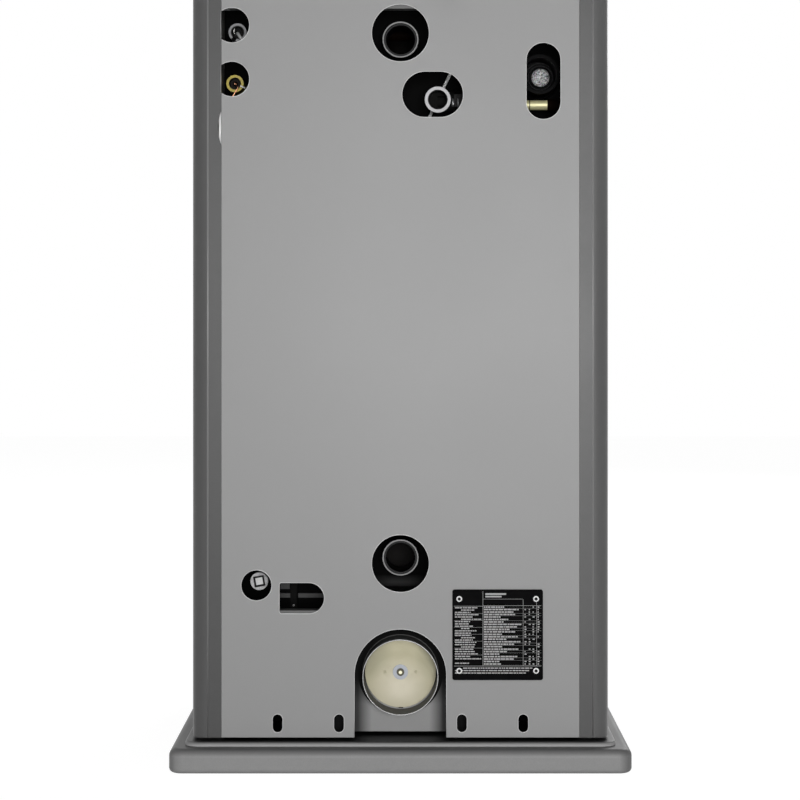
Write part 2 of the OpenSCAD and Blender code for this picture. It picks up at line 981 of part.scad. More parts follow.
// The inner plates around the fire: two sides with ledges, a back and a roof
module firebox_jacket() {
  t = jacket_t;
  x = jacket_x - t;
  back_in_y = jacket_back - t - seat_gap;
  color([0.14, 0.13, 0.12]) {
    both_sides()
      union() {
        span_box([x, -jacket_front, boiler_z], [jacket_x, jacket_back, firebox_top]);
        span_box([x - ledge_w, -jacket_front, hearth_z - ledge_h], [x, back_in_y, hearth_z]);
        span_box([x - ledge_w, -baffle_front, baffle_z - ledge_h], [x, back_in_y, baffle_z]);
      }
    span_box([-x + seat_gap, jacket_back - t, boiler_z], [x - seat_gap, jacket_back, firebox_top]);
    difference() {
      span_box([-x + seat_gap, -jacket_front, firebox_top - t], [x - seat_gap, back_in_y, firebox_top]);
      smoke_tube_places()
        cylinder(d = smoke_tube_d + 2 * seat_gap, h = jacket_t + 2 * cut);
    }
  }
}

module smoke_box() {
  t = smoke_box_t;
  x = boiler_x - smoke_box_lip;
  y0 = -boiler_front + smoke_box_front;
  y1 = boiler_back - smoke_box_back;
  top = casing_top - face_gap;
  color([0.15, 0.15, 0.15])
    difference() {
      span_box([-x, y0, boiler_top], [x, y1, top]);
      span_box([-x + t, y0 + t, boiler_top - cut], [x - t, y1 - t, top - t]);
      rod_z(flue_r, top - t - cut, top + cut, 0, flue_y);
    }
}

module stub_pipe(r, bore, x, z) {
  tube_y(r, bore, boiler_back, pipe_end, x, z);
}

module flow_pipe() {
  color([0.2, 0.2, 0.2])
    stub_pipe(pipe_d / 2, pipe_bore / 2, 0, flow_z);
}

module return_pipe() {
  color([0.2, 0.2, 0.2])
    stub_pipe(pipe_d / 2, pipe_bore / 2, 0, return_z);
}

module drain_socket() {
  color([0.3, 0.3, 0.3])
    tube_y(drain_od / 2, drain_bore / 2, boiler_back, pipe_end - drain_cap_t - face_gap, drain_x, drain_z);
}

// A cap with a square recess around a square head, on a plug that fills the socket
module drain_plug() {
  face = pipe_end - drain_cap_t;
  color([0.75, 0.75, 0.75])
    translate([drain_x, 0, drain_z])
      rotate([0, drain_turn, 0])
        union() {
          rod_y(drain_bore / 2 - seat_gap, boiler_back, face + cut, 0, 0);
          difference() {
            rod_y(drain_od / 2, face, pipe_end, 0, 0);
            difference() {
              span_box([-drain_recess / 2, face + cut, -drain_recess / 2],
                [drain_recess / 2, pipe_end + cut, drain_recess / 2]);
              span_box([-drain_square / 2, face, -drain_square / 2],
                [drain_square / 2, pipe_end - cut, drain_square / 2]);
            }
          }
        }
}

module spare_socket() {
  color([0.15, 0.15, 0.15])
    stub_pipe(spare_od / 2, spare_bore / 2, spare_x, spare_z);
}

module spare_plug() {
  color([0.65, 0.65, 0.65])
    union() {
      rod_y(spare_bore / 2 - seat_gap, boiler_back, boiler_back + spare_plug_t, spare_x, spare_z);
      rod_y(spare_disc_d / 2, boiler_back, spare_disc_y, spare_x, spare_z);
    }
}

module probe_socket() {
  color([0.7, 0.7, 0.7])
    stub_pipe(probe_od / 2, probe_bore / 2, probe_x, probe_z);
}

module bulb_socket() {
  color([0.75, 0.6, 0.25])
    stub_pipe(bulb_od / 2, bulb_bore / 2, bulb_x, bulb_z);
}

// Two immersion pockets: each has a plug that fills its socket and a dry tube
module immersion_pocket(bore, x, z) {
  plug_len = 2 * pocket_stub;
  difference() {
    union() {
      rod_y(bore / 2 - seat_gap, boiler_back, boiler_back + plug_len, x, z);
      rod_y(pocket_d / 2, boiler_back - pocket_reach, pipe_end - pocket_stub, x, z);
    }
    rod_y(pocket_d / 2 - 2 * wire_r, boiler_back - pocket_reach + cut, pipe_end, x, z);
  }
}

module sensor_pockets() {
  color([0.6, 0.6, 0.6])
    union() {
      immersion_pocket(probe_bore, probe_x, probe_z);
      immersion_pocket(bulb_bore, bulb_x, bulb_z);
    }
}

// Route of the copper capillary, from inside its pocket to the thermometer
capillary_points = [
  [bulb_x, boiler_back - pocket_reach / 2, bulb_z],
  [bulb_x, pipe_end - pocket_stub, bulb_z],
  [bulb_x - 0.75 * pocket_stub, pipe_end + pocket_stub, bulb_z - pocket_stub],
  [bulb_x + pocket_stub, pipe_end + pocket_stub, bulb_z - 4 * pocket_stub],
  [capillary_x, pipe_end + pocket_stub, bulb_z - 6 * pocket_stub],
  [capillary_x, -capillary_y, bulb_z - 6 * pocket_stub],
  [capillary_x, -capillary_y, gauge_z],
  [gauge_r / 2, -capillary_y, gauge_z],
  [gauge_r / 2, -casing_front + gauge_deep + capillary_d / 2, gauge_z]
];

// A rod from a to b that runs on by the given length at both ends
module rod_between(r, a, b, over = 0) {
  v = b - a;
  l = norm(v);
  translate(a)
    rotate([0, acos(v[2] / l), atan2(v[1], v[0])])
      translate([0, 0, -over])
        cylinder(r = r, h = l + 2 * over);
}

module capillary_tube() {
  r = capillary_d / 2;
  color([0.75, 0.45, 0.3])
    union() {
      for (i = [0 : len(capillary_points) - 2])
        rod_between(i % 2 == 0 ? r : r - run_gap, capillary_points[i], capillary_points[i + 1], r);
    }
}

// A spring clip: a loop in the pocket's mouth with one leg that leans out over its rim
module sensor_clip(bore, x, z, lean) {
  r = pocket_d / 2 + clip_d / 2 + seat_gap;
  translate([x, pipe_end - pocket_stub - clip_d, z])
    rotate([0, lean, 0])
      union() {
        rotate([90, 0, 0])
          rotate_extrude()
            translate([r, 0])
              circle(d = clip_d);
        rod_between(clip_d / 2, [r, 0, 0], [r, 2 * pocket_stub, 0]);
        translate([r, 2 * pocket_stub, 0])
          sphere(d = clip_d);
        rod_between(clip_d / 2, [r, 2 * pocket_stub, 0], [bore, 2 * pocket_stub, 0]);
      }
}

module sensor_clips() {
  color([0.8, 0.8, 0.8])
    union() {
      sensor_clip(probe_bore, probe_x, probe_z, probe_clip_turn);
      sensor_clip(bulb_bore, bulb_x, bulb_z, bulb_clip_turn);
    }
}

// Overheat discharge

module discharge_elbow() {
  body_r = elbow_od / 2;
  color([0.72, 0.72, 0.72])
    difference() {
      union() {
        rod_y(body_r, elbow_end - nut_len, elbow_end, elbow_x, elbow_z);
        rod_y(nut_r, arm_y, elbow_end - nut_len, elbow_x, elbow_z);
        translate([elbow_x, arm_y, elbow_z])
          sphere(r = nut_r);
        rod_x(arm_r, elbow_x - arm_reach, elbow_x, arm_y, elbow_z);
      }
      rod_y(elbow_bore / 2, arm_y, elbow_end + cut, elbow_x, elbow_z);
      rod_x(line_r + seat_gap, elbow_x - arm_reach - cut, elbow_x, arm_y, elbow_z);
    }
}

nut_x0 = elbow_x - arm_reach - nut_len - face_gap;

module discharge_nut() {
  color([0.6, 0.6, 0.6])
    difference() {
      union() {
        translate([nut_x0, arm_y, elbow_z])
          rotate([0, 90, 0])
            cylinder(r = nut_ring, h = nut_len, $fn = 6);
        rod_x(arm_r, nut_x0 - nut_ring_len, nut_x0, arm_y, elbow_z);
      }
      rod_x(line_r + 2 * seat_gap, nut_x0 - nut_ring_len - cut, nut_x0 + nut_len + cut, arm_y, elbow_z);
    }
}

line_start = [elbow_x - elbow_bore / 2 - cut, arm_y, elbow_z];
line_end = [line_end_x, arm_y, elbow_z - line_drop];

// The line leaves the nut level, then falls; a collar covers the bend
module discharge_pipe() {
  bend = [nut_x0 - nut_ring_len - line_r, arm_y, elbow_z];
  color([0.2, 0.2, 0.2])
    union() {
      rod_between(line_r, bend, line_start);
      rod_x(line_r + cut, bend[0] - line_r / 2, bend[0] + line_r / 2, arm_y, elbow_z);
      rod_between(line_r, line_end, bend);
    }
}

module discharge_coupling() {
  x1 = line_end_x - face_gap;
  z = line_end[2];
  color([0.85, 0.7, 0.35])
    union() {
      rod_x(coupling_r, coupling_x, x1, arm_y, z);
      rod_x(coupling_nut_r, x1 - coupling_nut_len, x1, arm_y, z);
    }
}

// Overheat coil: straight runs one above the other, joined by half-turn bends.
// Its lower end comes out beside the discharge line, its upper end at a threaded nipple.
module coil_ring() {
  difference() {
    circle(r = coil_r);
    circle(r = coil_r - coil_wall);
  }
}

module coil_run(a, turn, l) {
  translate(a)
    rotate(turn)
      linear_extrude(l)
        coil_ring();
}

// A bend that starts at the end of arm +X of its own plane and turns towards +Y
module coil_bend(centre, turn, r, angle) {
  translate(centre)
    rotate(turn)
      rotate_extrude(angle = angle)
        translate([r, 0])
          coil_ring();
}

module cooling_coil() {
  b = stub_bend;
  last = coil_runs - 1;
  color([0.75, 0.45, 0.3])
    union() {
      coil_bend([stub_x + b, arm_y - b, stub_z], [0, 0, 90], b, 90);
      coil_run([stub_x, coil_y + b, stub_z], [-90, 0, 0], arm_y - coil_y - 2 * b);
      coil_bend([stub_x, coil_y + b, stub_z + b], [-90, 0, -90], b, 90);
      coil_run([stub_x, coil_y, stub_z + b], [0, 0, 0], coil_z - stub_z - 2 * b);
      coil_bend([stub_x + b, coil_y, coil_z - b], [90, -90, 0], b, 90);
      coil_run([stub_x + b, coil_y, coil_z], [0, 90, 0], coil_half - stub_x - b);
      for (k = [1 : last])
        coil_run([-coil_half, coil_y, coil_z + k * coil_pitch], [0, 90, 0],
          coil_half + (k == last ? inlet_x - b : coil_half));
      for (k = [0 : last - 1])
        coil_bend([k % 2 == 0 ? coil_half : -coil_half, coil_y, coil_z + (k + 0.5) * coil_pitch],
          [90, k % 2 == 0 ? 90 : -90, 0], coil_pitch / 2, 180);
      coil_bend([inlet_x - b, coil_y + b, inlet_z], [0, 0, -90], b, 90);
      coil_run([inlet_x, coil_y + b, inlet_z], [-90, 0, 0], boiler_back - coil_y - b);
      tube_y(inlet_od / 2, coil_r - coil_wall, boiler_back, pipe_end, inlet_x, inlet_z);
    }
}

module insulation_pads() {
  color([0.8, 0.75, 0.5])
    both_sides()
      span_box([boiler_x, -boiler_front + insulation_edge, boiler_z + insulation_edge],
        [boiler_x + insulation_t, boiler_back - insulation_edge, boiler_top - insulation_edge]);
}

// Air side

module ash_chamber() {
  t = ash_t;
  back_in_y = boiler_back - t - seat_gap;
  color([0.15, 0.15, 0.15]) {
    both_sides()
      span_box([ash_door_w / 2, -boiler_front, ash_door_z + seat_gap],
        [ash_x, -boiler_front + t, ash_door_z + ash_door_h - seat_gap]);
    span_box([-ash_x, -boiler_front, ash_door_z + ash_door_h], [ash_x, -boiler_front + t, boiler_z]);
    span_box([-ash_x, -boiler_front, frame_top], [ash_x, -boiler_front + t, ash_door_z]);
    difference() {
      span_box([-ash_x, boiler_back - t, frame_top], [ash_x, boiler_back, boiler_z]);
      span_box([-air_way_w / 2, boiler_back - t - cut, air_way_z],
        [air_way_w / 2, boiler_back + cut, air_way_z + air_way_h]);
    }
    both_sides()
      span_box([ash_x - t, -boiler_front + t + seat_gap, frame_top], [ash_x, back_in_y, boiler_z]);
    union() {
      span_box([-ash_x + t + seat_gap, -boiler_front + t + seat_gap, frame_top],
        [ash_x - t - seat_gap, back_in_y, frame_top + t]);
      both_sides()
        span_box([runner_x - runner_w / 2, -boiler_front + t + seat_gap, frame_top + t],
          [runner_x + runner_w / 2, drawer_back, frame_top + t + runner_h]);
    }
  }
}

module air_box() {
  t = box_t;
  color([0.45, 0.45, 0.46])
    difference() {
      union() {
        difference() {
          span_box([-box_x, boiler_back, casing_z], [box_x, box_back, box_top]);
          span_box([-box_x + t, boiler_back - cut, casing_z + t], [box_x - t, box_back - t, box_top - t]);
        }
        both_sides()
          span_box([ear_x - ear_t / 2, hinge_y - ear_r, hinge_z - ear_r],
            [ear_x + ear_t / 2, box_back - t, hinge_z + ear_r]);
      }
      rod_y(air_hole_d / 2, box_back - t - cut, box_back + cut, 0, spigot_z);
      rod_x(hinge_r + run_gap, -ear_x - ear_t, ear_x + ear_t, hinge_y, hinge_z);
      rod_z(chain_hole_r, box_top - t - cut, box_top + cut, chain_turn_x, chain_y);
    }
}

module air_spigot() {
  color([0.62, 0.62, 0.63]) {
    tube_y(spigot_r, spigot_r - spigot_wall, box_back + spigot_flange_t + seat_gap, casing_back,
      0, spigot_z);
    tube_y(spigot_r + spigot_flange_w, spigot_r - spigot_wall, box_back, box_back + spigot_flange_t,
      0, spigot_z);
  }
}

module flap_holes(r, y0, y1) {
  rod_y(r, y0, y1, 0, spigot_z);
  for (s = [-1, 1])
    rod_y(flap_rivet_r / 2 + seat_gap, y0, y1, s * flap_rivet_x, spigot_z);
}

module air_flap() {
  color([0.82, 0.8, 0.66])
    difference() {
      rod_y(flap_r, flap_y, flap_y + flap_t, 0, spigot_z);
      flap_holes(bolt_shank_r + seat_gap, flap_y - cut, flap_y + flap_t + cut);
    }
}

// Shaft, hanger arm and chain lever of the flap, in one piece
module flap_carrier() {
  reach = chain_lever / cos(flap_open / 2);
  color([0.6, 0.6, 0.6])
    difference() {
      union() {
        rod_x(hinge_r, -hinge_half, hinge_half, hinge_y, hinge_z);
        span_box([-arm_w / 2, flap_y - arm_t, spigot_z - arm_tail], [arm_w / 2, flap_y, hinge_z]);
        span_box([-flap_rivet_x - arm_t, flap_y - arm_t, spigot_z - arm_w / 2],
          [flap_rivet_x + arm_t, flap_y, spigot_z + arm_w / 2]);
        translate([chain_turn_x, hinge_y, hinge_z])
          rotate([flap_open / 2, 0, 0])
            difference() {
              span_box([-lever_w / 2, -chain_lever - lever_tip, -lever_t / 2],
                [lever_w / 2, 0, lever_t / 2]);
              translate([0, -(chain_lever + reach) / 2, -lever_t])
                linear_extrude(2 * lever_t)
                  stadium(lever_slot_w, reach - chain_lever + lever_slot_w + bead_d);
            }
      }
      flap_holes(bolt_shank_r + seat_gap, flap_y - arm_t - cut, flap_y + cut);
    }
}

// Centre bolt with its washer and nut, and two rivets beside it
module flap_fasteners() {
  face = flap_y + flap_t;
  back = flap_y - arm_t;
  color([0.75, 0.75, 0.78])
    union() {
      rod_y(washer_r, face, face + washer_t, 0, spigot_z);
      difference() {
        rod_y(bolt_r, face + washer_t, face + washer_t + bolt_h, 0, spigot_z);
        translate([0, face + washer_t + bolt_h / 2, spigot_z])
          rotate([-90, 0, 0])
            cylinder(r = bolt_key_r, h = bolt_h, $fn = 6);
      }
      rod_y(bolt_shank_r, back - bolt_h, face + washer_t, 0, spigot_z);
      translate([0, back - bolt_h, spigot_z])
        rotate([-90, 0, 0])
          cylinder(r = bolt_r, h = bolt_h, $fn = 6);
      for (s = [-1, 1]) {
        rod_y(flap_rivet_r, face, face + flap_rivet_h, s * flap_rivet_x, spigot_z);
        rod_y(flap_rivet_r / 2, back, face, s * flap_rivet_x, spigot_z);
        rod_y(flap_rivet_r, back - flap_rivet_h, back, s * flap_rivet_x, spigot_z);
      }
    }
}

// A straight length of bead chain along +Z: one revolved outline of beads on a wire
module bead_chain(l) {
  n = floor((l - bead_d) / bead_pitch);
  rotate_extrude($fn = 24)
    intersection() {
      square([bead_d, l]);
      union() {
        square([wire_r, l]);
        for (i = [0 : n])
          translate([0, bead_d / 2 + i * bead_pitch])
            circle(d = bead_d, $fn = 16);
      }
    }
}

// Room that a tilted lever needs between its middle and the stop on the chain
function stop_room(tilt) = lever_t / 2 / cos(tilt) + stop_r * tan(tilt) + stop_gap;

// The chain's upper stretch leans; it hangs from the regulator's lever
module chain_upper() {
  grip = reg_along + stop_room(reg_swing);
  color([0.75, 0.75, 0.75])
    translate([chain_turn_x, chain_y, chain_turn_z])
      rotate([0, -chain_slope, 0])
        union() {
          translate([0, 0, guide_tuck])
            bead_chain(grip - guide_tuck);
          rod_z(stop_r, grip, grip + stop_h, 0, 0);
        }
}

// The chain's lower stretch hangs upright and lifts the flap's lever
module chain_lower() {
  lever_z = hinge_z - chain_lever * tan(flap_open / 2);
  foot = lever_z - stop_room(flap_open / 2);
  top = chain_turn_z - chain_lift - guide_tuck;
  color([0.75, 0.75, 0.75])
    union() {
      translate([chain_turn_x, chain_y, foot])
        bead_chain(top - foot);
      rod_z(stop_r, foot - stop_h, foot, chain_turn_x, chain_y);
    }
}

module guide_ring() {
  difference() {
    circle(r = guide_r);
    circle(r = guide_bore_r);
  }
}

// A sleeve around the joint between a leg and the bend
module guide_sleeve() {
  translate([0, 0, -guide_foot_t])
    difference() {
      cylinder(r = guide_r + guide_sleeve_t, h = 2 * guide_foot_t);
      translate([0, 0, -cut])
        cylinder(r = (guide_r + guide_bore_r) / 2, h = 2 * guide_foot_t + 2 * cut);
    }
}

// A bent tube that turns the chain, on a foot that sits on the boiler's back
module chain_guide() {
  tangent = guide_bend * tan(chain_slope / 2);
  web_y = chain_y - (guide_r + guide_bore_r) / 2;
  color([0.3, 0.3, 0.3])
    union() {
      translate([chain_turn_x, chain_y, chain_turn_z])
        rotate([0, -chain_slope, 0])
          translate([0, 0, tangent]) {
            guide_sleeve();
            translate([0, 0, run_gap])
              linear_extrude(guide_leg - tangent)
                guide_ring();
          }
      translate([chain_turn_x, chain_y, chain_turn_z - guide_leg])
        linear_extrude(guide_leg - tangent - run_gap)
          guide_ring();
      translate([chain_turn_x, chain_y, chain_turn_z - tangent])
        guide_sleeve();
      translate([chain_turn_x - guide_bend, chain_y, chain_turn_z - tangent])
        rotate([90, 0, 0])
          rotate_extrude(angle = chain_slope)
            translate([guide_bend, 0])
              guide_ring();
      translate([chain_turn_x, 0, chain_turn_z - guide_leg + guide_foot_h / 2]) {
        span_box([-guide_foot_w / 2, boiler_back, -guide_foot_h / 2],
          [guide_foot_w / 2, boiler_back + guide_foot_t, guide_foot_h / 2]);
        span_box([-guide_bore_r, boiler_back, -guide_foot_h / 2], [guide_bore_r, web_y, guide_foot_h / 2]);
      }
    }
}

// Draught regulator

module regulator_body() {
  hex_y = boiler_back + reg_neck_len;
  body_y = hex_y + reg_hex_len;
  color([0.6, 0.58, 0.5])
    union() {
      rod_y(reg_socket_r, boiler_back, boiler_back + reg_socket_len, reg_x, reg_z);
      rod_y(reg_neck_r, boiler_back - boiler_t - pocket_reach, hex_y, reg_x, reg_z);
      translate([reg_x, hex_y, reg_z])
        rotate([-90, 0, 0])
          cylinder(r = reg_hex_r, h = reg_hex_len, $fn = 6);
      rod_y(reg_body_r, body_y, reg_body_end, reg_x, reg_z);
      rod_y(reg_spindle_r, reg_body_end, reg_body_end + reg_key_len, reg_x, reg_z);
    }
}

// The lever drawn where the chain crosses it at right angles, then lowered to rest
module regulator_lever() {
  reach = reg_arm / cos(reg_swing);
  tab_y = chain_y + lever_w / 2;
  color([0.7, 0.7, 0.7])
    translate([reg_x, 0, reg_z])
      rotate([0, -chain_slope - reg_swing, 0])
        difference() {
          union() {
            rod_y(reg_hub_r, reg_hub_y, reg_hub_y + reg_hub_t, 0, 0);
            span_box([-reach - lever_tip, reg_hub_y, -lever_w / 2], [0, reg_hub_y + reg_hub_t, lever_w / 2]);
            span_box([-reach - lever_tip, reg_hub_y, -lever_t / 2],
              [-reg_arm + lever_tip, tab_y, lever_t / 2]);
          }
          rod_y(reg_neck_r + run_gap, reg_hub_y - cut, reg_hub_y + reg_hub_t + cut, 0, 0);
          translate([-(reg_arm + reach) / 2, chain_y, -lever_t])
            linear_extrude(2 * lever_t)
              stadium(reach - reg_arm + lever_slot_w + bead_d, lever_slot_w);
        }
}

module regulator_knob() {
  y0 = reg_body_end + face_gap;
  color([0.08, 0.08, 0.08])
    difference() {
      union() {
        rod_y(reg_knob_r, y0 + reg_knob_len / 2, y0 + reg_knob_len, reg_x, reg_z);
        rod_y(reg_body_r, y0, y0 + reg_knob_len / 2, reg_x, reg_z);
      }
      for (i = [0 : reg_knob_flutes - 1])
        translate([reg_x, 0, reg_z])
          rotate([0, i * 360 / reg_knob_flutes, 0])
            rod_y(reg_flute_r, y0 + reg_knob_len / 2 - cut, y0 + reg_knob_len + cut,
              reg_knob_r + reg_flute_r / 2, 0);
      rod_y(reg_spindle_r + run_gap, y0 - cut, y0 + reg_key_len, reg_x, reg_z);
    }
}

// Front

module fire_opening(grow) {
  translate([0, fire_z + fire_h / 2])
    square([fire_w + 2 * grow, fire_h + 2 * grow], center = true);
}

module ash_opening(grow) {
  translate([0, ash_door_z + ash_door_h / 2])
    square([ash_door_w + 2 * grow, ash_door_h + 2 * grow], center = true);
}

module slide_ports() {
  for (k = [-2, -1, 1, 2])
    translate([k * slide_pitch, slide_z])
      stadium(slide_port_w, slide_port_h);
}

module front_frame() {
  color([0.1, 0.1, 0.1])
    difference() {
      union() {
        sheet_xz(-front_in, front_t)
          difference() {
            translate([-panel_w / 2, casing_z])
              square([panel_w, casing_h]);
            fire_opening(0);
            ash_opening(0);
            slide_ports();
            translate([0, slide_z])
              stadium(2 * (slide_travel + slide_stem_r + seat_gap), 2 * (slide_stem_r + seat_gap));
            translate([0, gauge_z])
              circle(r = gauge_r - gauge_rim);
            translate([0, shaker_z])
              circle(r = shaker_hole_r);
          }
        sheet_xz(-boiler_front, front_in - boiler_front)
          difference() {
            fire_opening(collar_t);
            fire_opening(0);
          }
        sheet_xz(-boiler_front, front_in - boiler_front)
          difference() {
            ash_opening(collar_t);
            ash_opening(0);
          }
        slide_channel();
        for (z = [door_hinge_low, door_hinge_high])
          hinge_lug(z - face_gap - lug_h);
      }
      for (z = [door_hinge_low, door_hinge_high])
        rod_z(pin_r + run_gap / 2, z - lug_h - cut, z + cut, door_axis_x, door_axis_y);
    }
}

module hinge_lug(z) {
  rod_z(knuckle_r, z, z + lug_h, door_axis_x, door_axis_y);
  span_box([door_axis_x - knuckle_r / 2, door_axis_y, z],
    [door_axis_x + knuckle_r / 2, -casing_front, z + lug_h]);
}

// Channel on the frame's back in which the secondary air slide runs
module slide_channel() {
  h = slide_h / 2 + face_gap;
  x = slide_w / 2 + slide_travel;
  deep = slide_t + 2 * face_gap;
  difference() {
    span_box([-x, -front_in, slide_z - h - channel_wall],
      [x, -front_in + deep + channel_wall, slide_z + h + channel_wall]);
    span_box([-x - cut, -front_in - cut, slide_z - h], [x + cut, -front_in + deep, slide_z + h]);
    span_box([-x - cut, -front_in, slide_z - h + channel_lip],
      [x + cut, -front_in + deep + channel_wall + cut, slide_z + h - channel_lip]);
  }
}

module air_slider() {
  color([0.35, 0.35, 0.35])
    union() {
      sheet_xz(-front_in + face_gap + slide_t, slide_t)
        difference() {
          translate([0, slide_z])
            square([slide_w, slide_h], center = true);
          slide_ports();
        }
      rod_y(slide_stem_r, -casing_front - slide_knob_gap - slide_knob_len, -front_in + face_gap, 0, slide_z);
      rod_y(slide_knob_r, -casing_front - slide_knob_gap - slide_knob_len,
        -casing_front - slide_knob_gap, 0, slide_z);
    }
}

module window(grow) {
  translate([0, door_z + window_in - grow])
    arched(window_w + 2 * grow, window_h + 2 * grow, window_rise);
}

module door_outline(in) {
  translate([0, door_z + door_h / 2])
    round_rect(door_w - 2 * in, door_h - 2 * in, max(door_round - in, keeper_t));
}

module fire_door() {
  color([0.09, 0.09, 0.09])
    difference() {
      union() {
        sheet_xz(-door_back, door_t)
          difference() {
            door_outline(0);
            window(0);
          }
        sheet_xz(-door_face, door_rim_t)
          difference() {
            door_outline(0);
            door_outline(door_rim_w);
          }
        sheet_xz(-door_face, door_rim_t)
          difference() {
            window(door_rim_w);
            window(0);
          }
        rod_y(handle_boss_r + 2 * cut, -door_face - door_rim_t, -door_face + cut, handle_x, handle_z);
        for (z = [door_hinge_low, door_hinge_high]) {
          rod_z(knuckle_r, z, z + knuckle_h, door_axis_x, door_axis_y);
          span_box([door_axis_x, door_axis_y - knuckle_r / 2, z],
            [-door_w / 2 + keeper_t, door_axis_y + knuckle_r / 2, z + knuckle_h]);
        }
      }
      sheet_xz(-door_back + cut, glass_seat + cut)
        window(glass_lap);
      sheet_xz(-door_back + cut, gasket_groove + cut)
        gasket_outline(seat_gap);
      for (z = [door_hinge_low, door_hinge_high])
        rod_z(pin_r + run_gap, z - cut, z + knuckle_h + cut, door_axis_x, door_axis_y);
      rod_y(handle_spindle_r + run_gap, -door_face - door_rim_t - cut, -door_back + cut, handle_x, handle_z);
      for (p = keeper_places)
        rod_y(keeper_screw_r + seat_gap, -door_back - glass_seat, -door_back + cut, p[0], p[1]);
    }
}

module gasket_outline(grow) {
  difference() {
    door_outline(gasket_in - gasket_w / 2 - grow);
    door_outline(gasket_in + gasket_w / 2 + grow);
  }
}

module door_gasket() {
  color([0.75, 0.73, 0.68])
    sheet_xz(-casing_front - face_gap, door_gap + gasket_groove - face_gap - seat_gap)
      gasket_outline(0);
}

module door_glass() {
  color([0.35, 0.38, 0.4, 0.5])
    sheet_xz(-door_back - face_gap, glass_t)
      window(glass_lap - seat_gap);
}

// The keepers that hold the glass: two at each side of the window
keeper_x = window_w / 2 + glass_lap + keeper_h - keeper_lap - keeper_screw_r;
keeper_places = [for (sx = [-1, 1], share = [0.25, 0.75])
  [sx * keeper_x, door_z + window_in + share * window_h]];

module glass_clips() {
  color([0.6, 0.6, 0.6])
    for (p = keeper_places) {
      side = sign(p[0]);
      inner = window_w / 2 + glass_lap - keeper_lap;
      span_box([min(side * inner, side * (inner + keeper_h)), -door_back, p[1] - keeper_w / 2],
        [max(side * inner, side * (inner + keeper_h)), -door_back + keeper_t, p[1] + keeper_w / 2]);
      rod_y(keeper_screw_r, -door_back - glass_seat + face_gap, -door_back, p[0], p[1]);
    }
}

module door_hinge_pins() {
  color([0.5, 0.5, 0.5])
    for (z = [door_hinge_low, door_hinge_high]) {
      rod_z(pin_r, z - face_gap - lug_h, z + knuckle_h + face_gap, door_axis_x, door_axis_y);
      rod_z(pin_head_r, z + knuckle_h + face_gap, z + knuckle_h + face_gap + pin_head_h,
        door_axis_x, door_axis_y);
    }
}

// Spindle, latch tongue, boss and hanging grip, drawn about the spindle's axis
module door_handle() {
  front = -door_face - door_rim_t - face_gap;
  grip_y = front - handle_boss_len - handle_r / 2;
  tongue_y = -casing_front + catch_in + catch_t + face_gap;
  color([0.6, 0.6, 0.6])
    translate([handle_x, 0, handle_z])
      union() {
        rod_y(handle_spindle_r, front - handle_boss_len, tongue_y + latch_t, 0, 0);
        rod_y(handle_boss_r, front - handle_boss_len, front, 0, 0);
        rotate([0, handle_turn, 0])
          span_box([0, tongue_y, -latch_w / 2], [latch_len, tongue_y + latch_t, latch_w / 2]);
        translate([0, grip_y, 0])
          sphere(r = handle_r);
        translate([0, grip_y, -handle_len])
          cylinder(r1 = handle_r, r2 = handle_r - run_gap, h = handle_len);
        translate([0, grip_y, -handle_len])
          sphere(r = handle_r);
      }
}

module door_catch() {
  y0 = -casing_front + catch_in;
  color([0.5, 0.5, 0.5])
    span_box([fire_w / 2 - catch_reach, y0, handle_z - catch_h / 2],
      [fire_w / 2, y0 + catch_t, handle_z + catch_h / 2]);
}

module ash_drawer() {
  t = drawer_t;
  x = drawer_w / 2;
  y0 = -casing_front - face_gap;
  color([0.12, 0.12, 0.12])
    union() {
      difference() {
        span_box([-x, y0 - t, drawer_z], [x, drawer_back, drawer_z + drawer_h]);
        span_box([-x + t, y0, drawer_z + t], [x - t, drawer_back - t, drawer_z + drawer_h + cut]);
      }
      sheet_xz(y0, drawer_face_t)
        translate([0, drawer_face_z + drawer_face_h / 2])
          round_rect(drawer_face_w, drawer_face_h, drawer_face_round);
      translate([0, y0 - drawer_face_t, drawer_face_z + drawer_face_h / 2]) {
        rod_y(drawer_stem_r, -drawer_knob_len, 0, 0, 0);
        rod_y(drawer_knob_r, -drawer_knob_len, -drawer_knob_len / 2, 0, 0);
      }
    }
}

// Fire side

hearth_x = jacket_x - jacket_t - seat_gap;
well_front = grate_front + shaker_travel + seat_gap;
well_back = grate_back + face_gap;

module hearth_plate() {
  color([0.25, 0.23, 0.22])
    difference() {
      span_box([-hearth_x, -jacket_front + seat_gap, hearth_z],
        [hearth_x, jacket_back - jacket_t - seat_gap, hearth_top]);
      span_box([-grate_w / 2 - face_gap, -well_front, hearth_z + grate_ledge_h],
        [grate_w / 2 + face_gap, well_back, hearth_top + cut]);
      span_box([-grate_w / 2 + grate_seat, -well_front, hearth_z - cut],
        [grate_w / 2 - grate_seat, well_back, hearth_top]);
      span_box([-shaker_hole_r, -jacket_front - cut, hearth_z - cut],
        [shaker_hole_r, -grate_front, hearth_top + cut]);
    }
}

module grate() {
  gap = (grate_w - 2 * grate_rim - (grate_bars - 1) * grate_bar_w) / grate_bars;
  z0 = hearth_z + grate_ledge_h + face_gap;
  color([0.2, 0.18, 0.17])
    difference() {
      span_box([-grate_w / 2, -grate_front, z0], [grate_w / 2, grate_back, hearth_top - face_gap]);
      for (i = [0 : grate_bars - 1])
        translate([-grate_w / 2 + grate_rim + gap / 2 + i * (gap + grate_bar_w),
            (grate_back - grate_front) / 2, z0 - cut])
          linear_extrude(hearth_t)
            stadium(gap, grate_back + grate_front - 2 * grate_rim);
    }
}

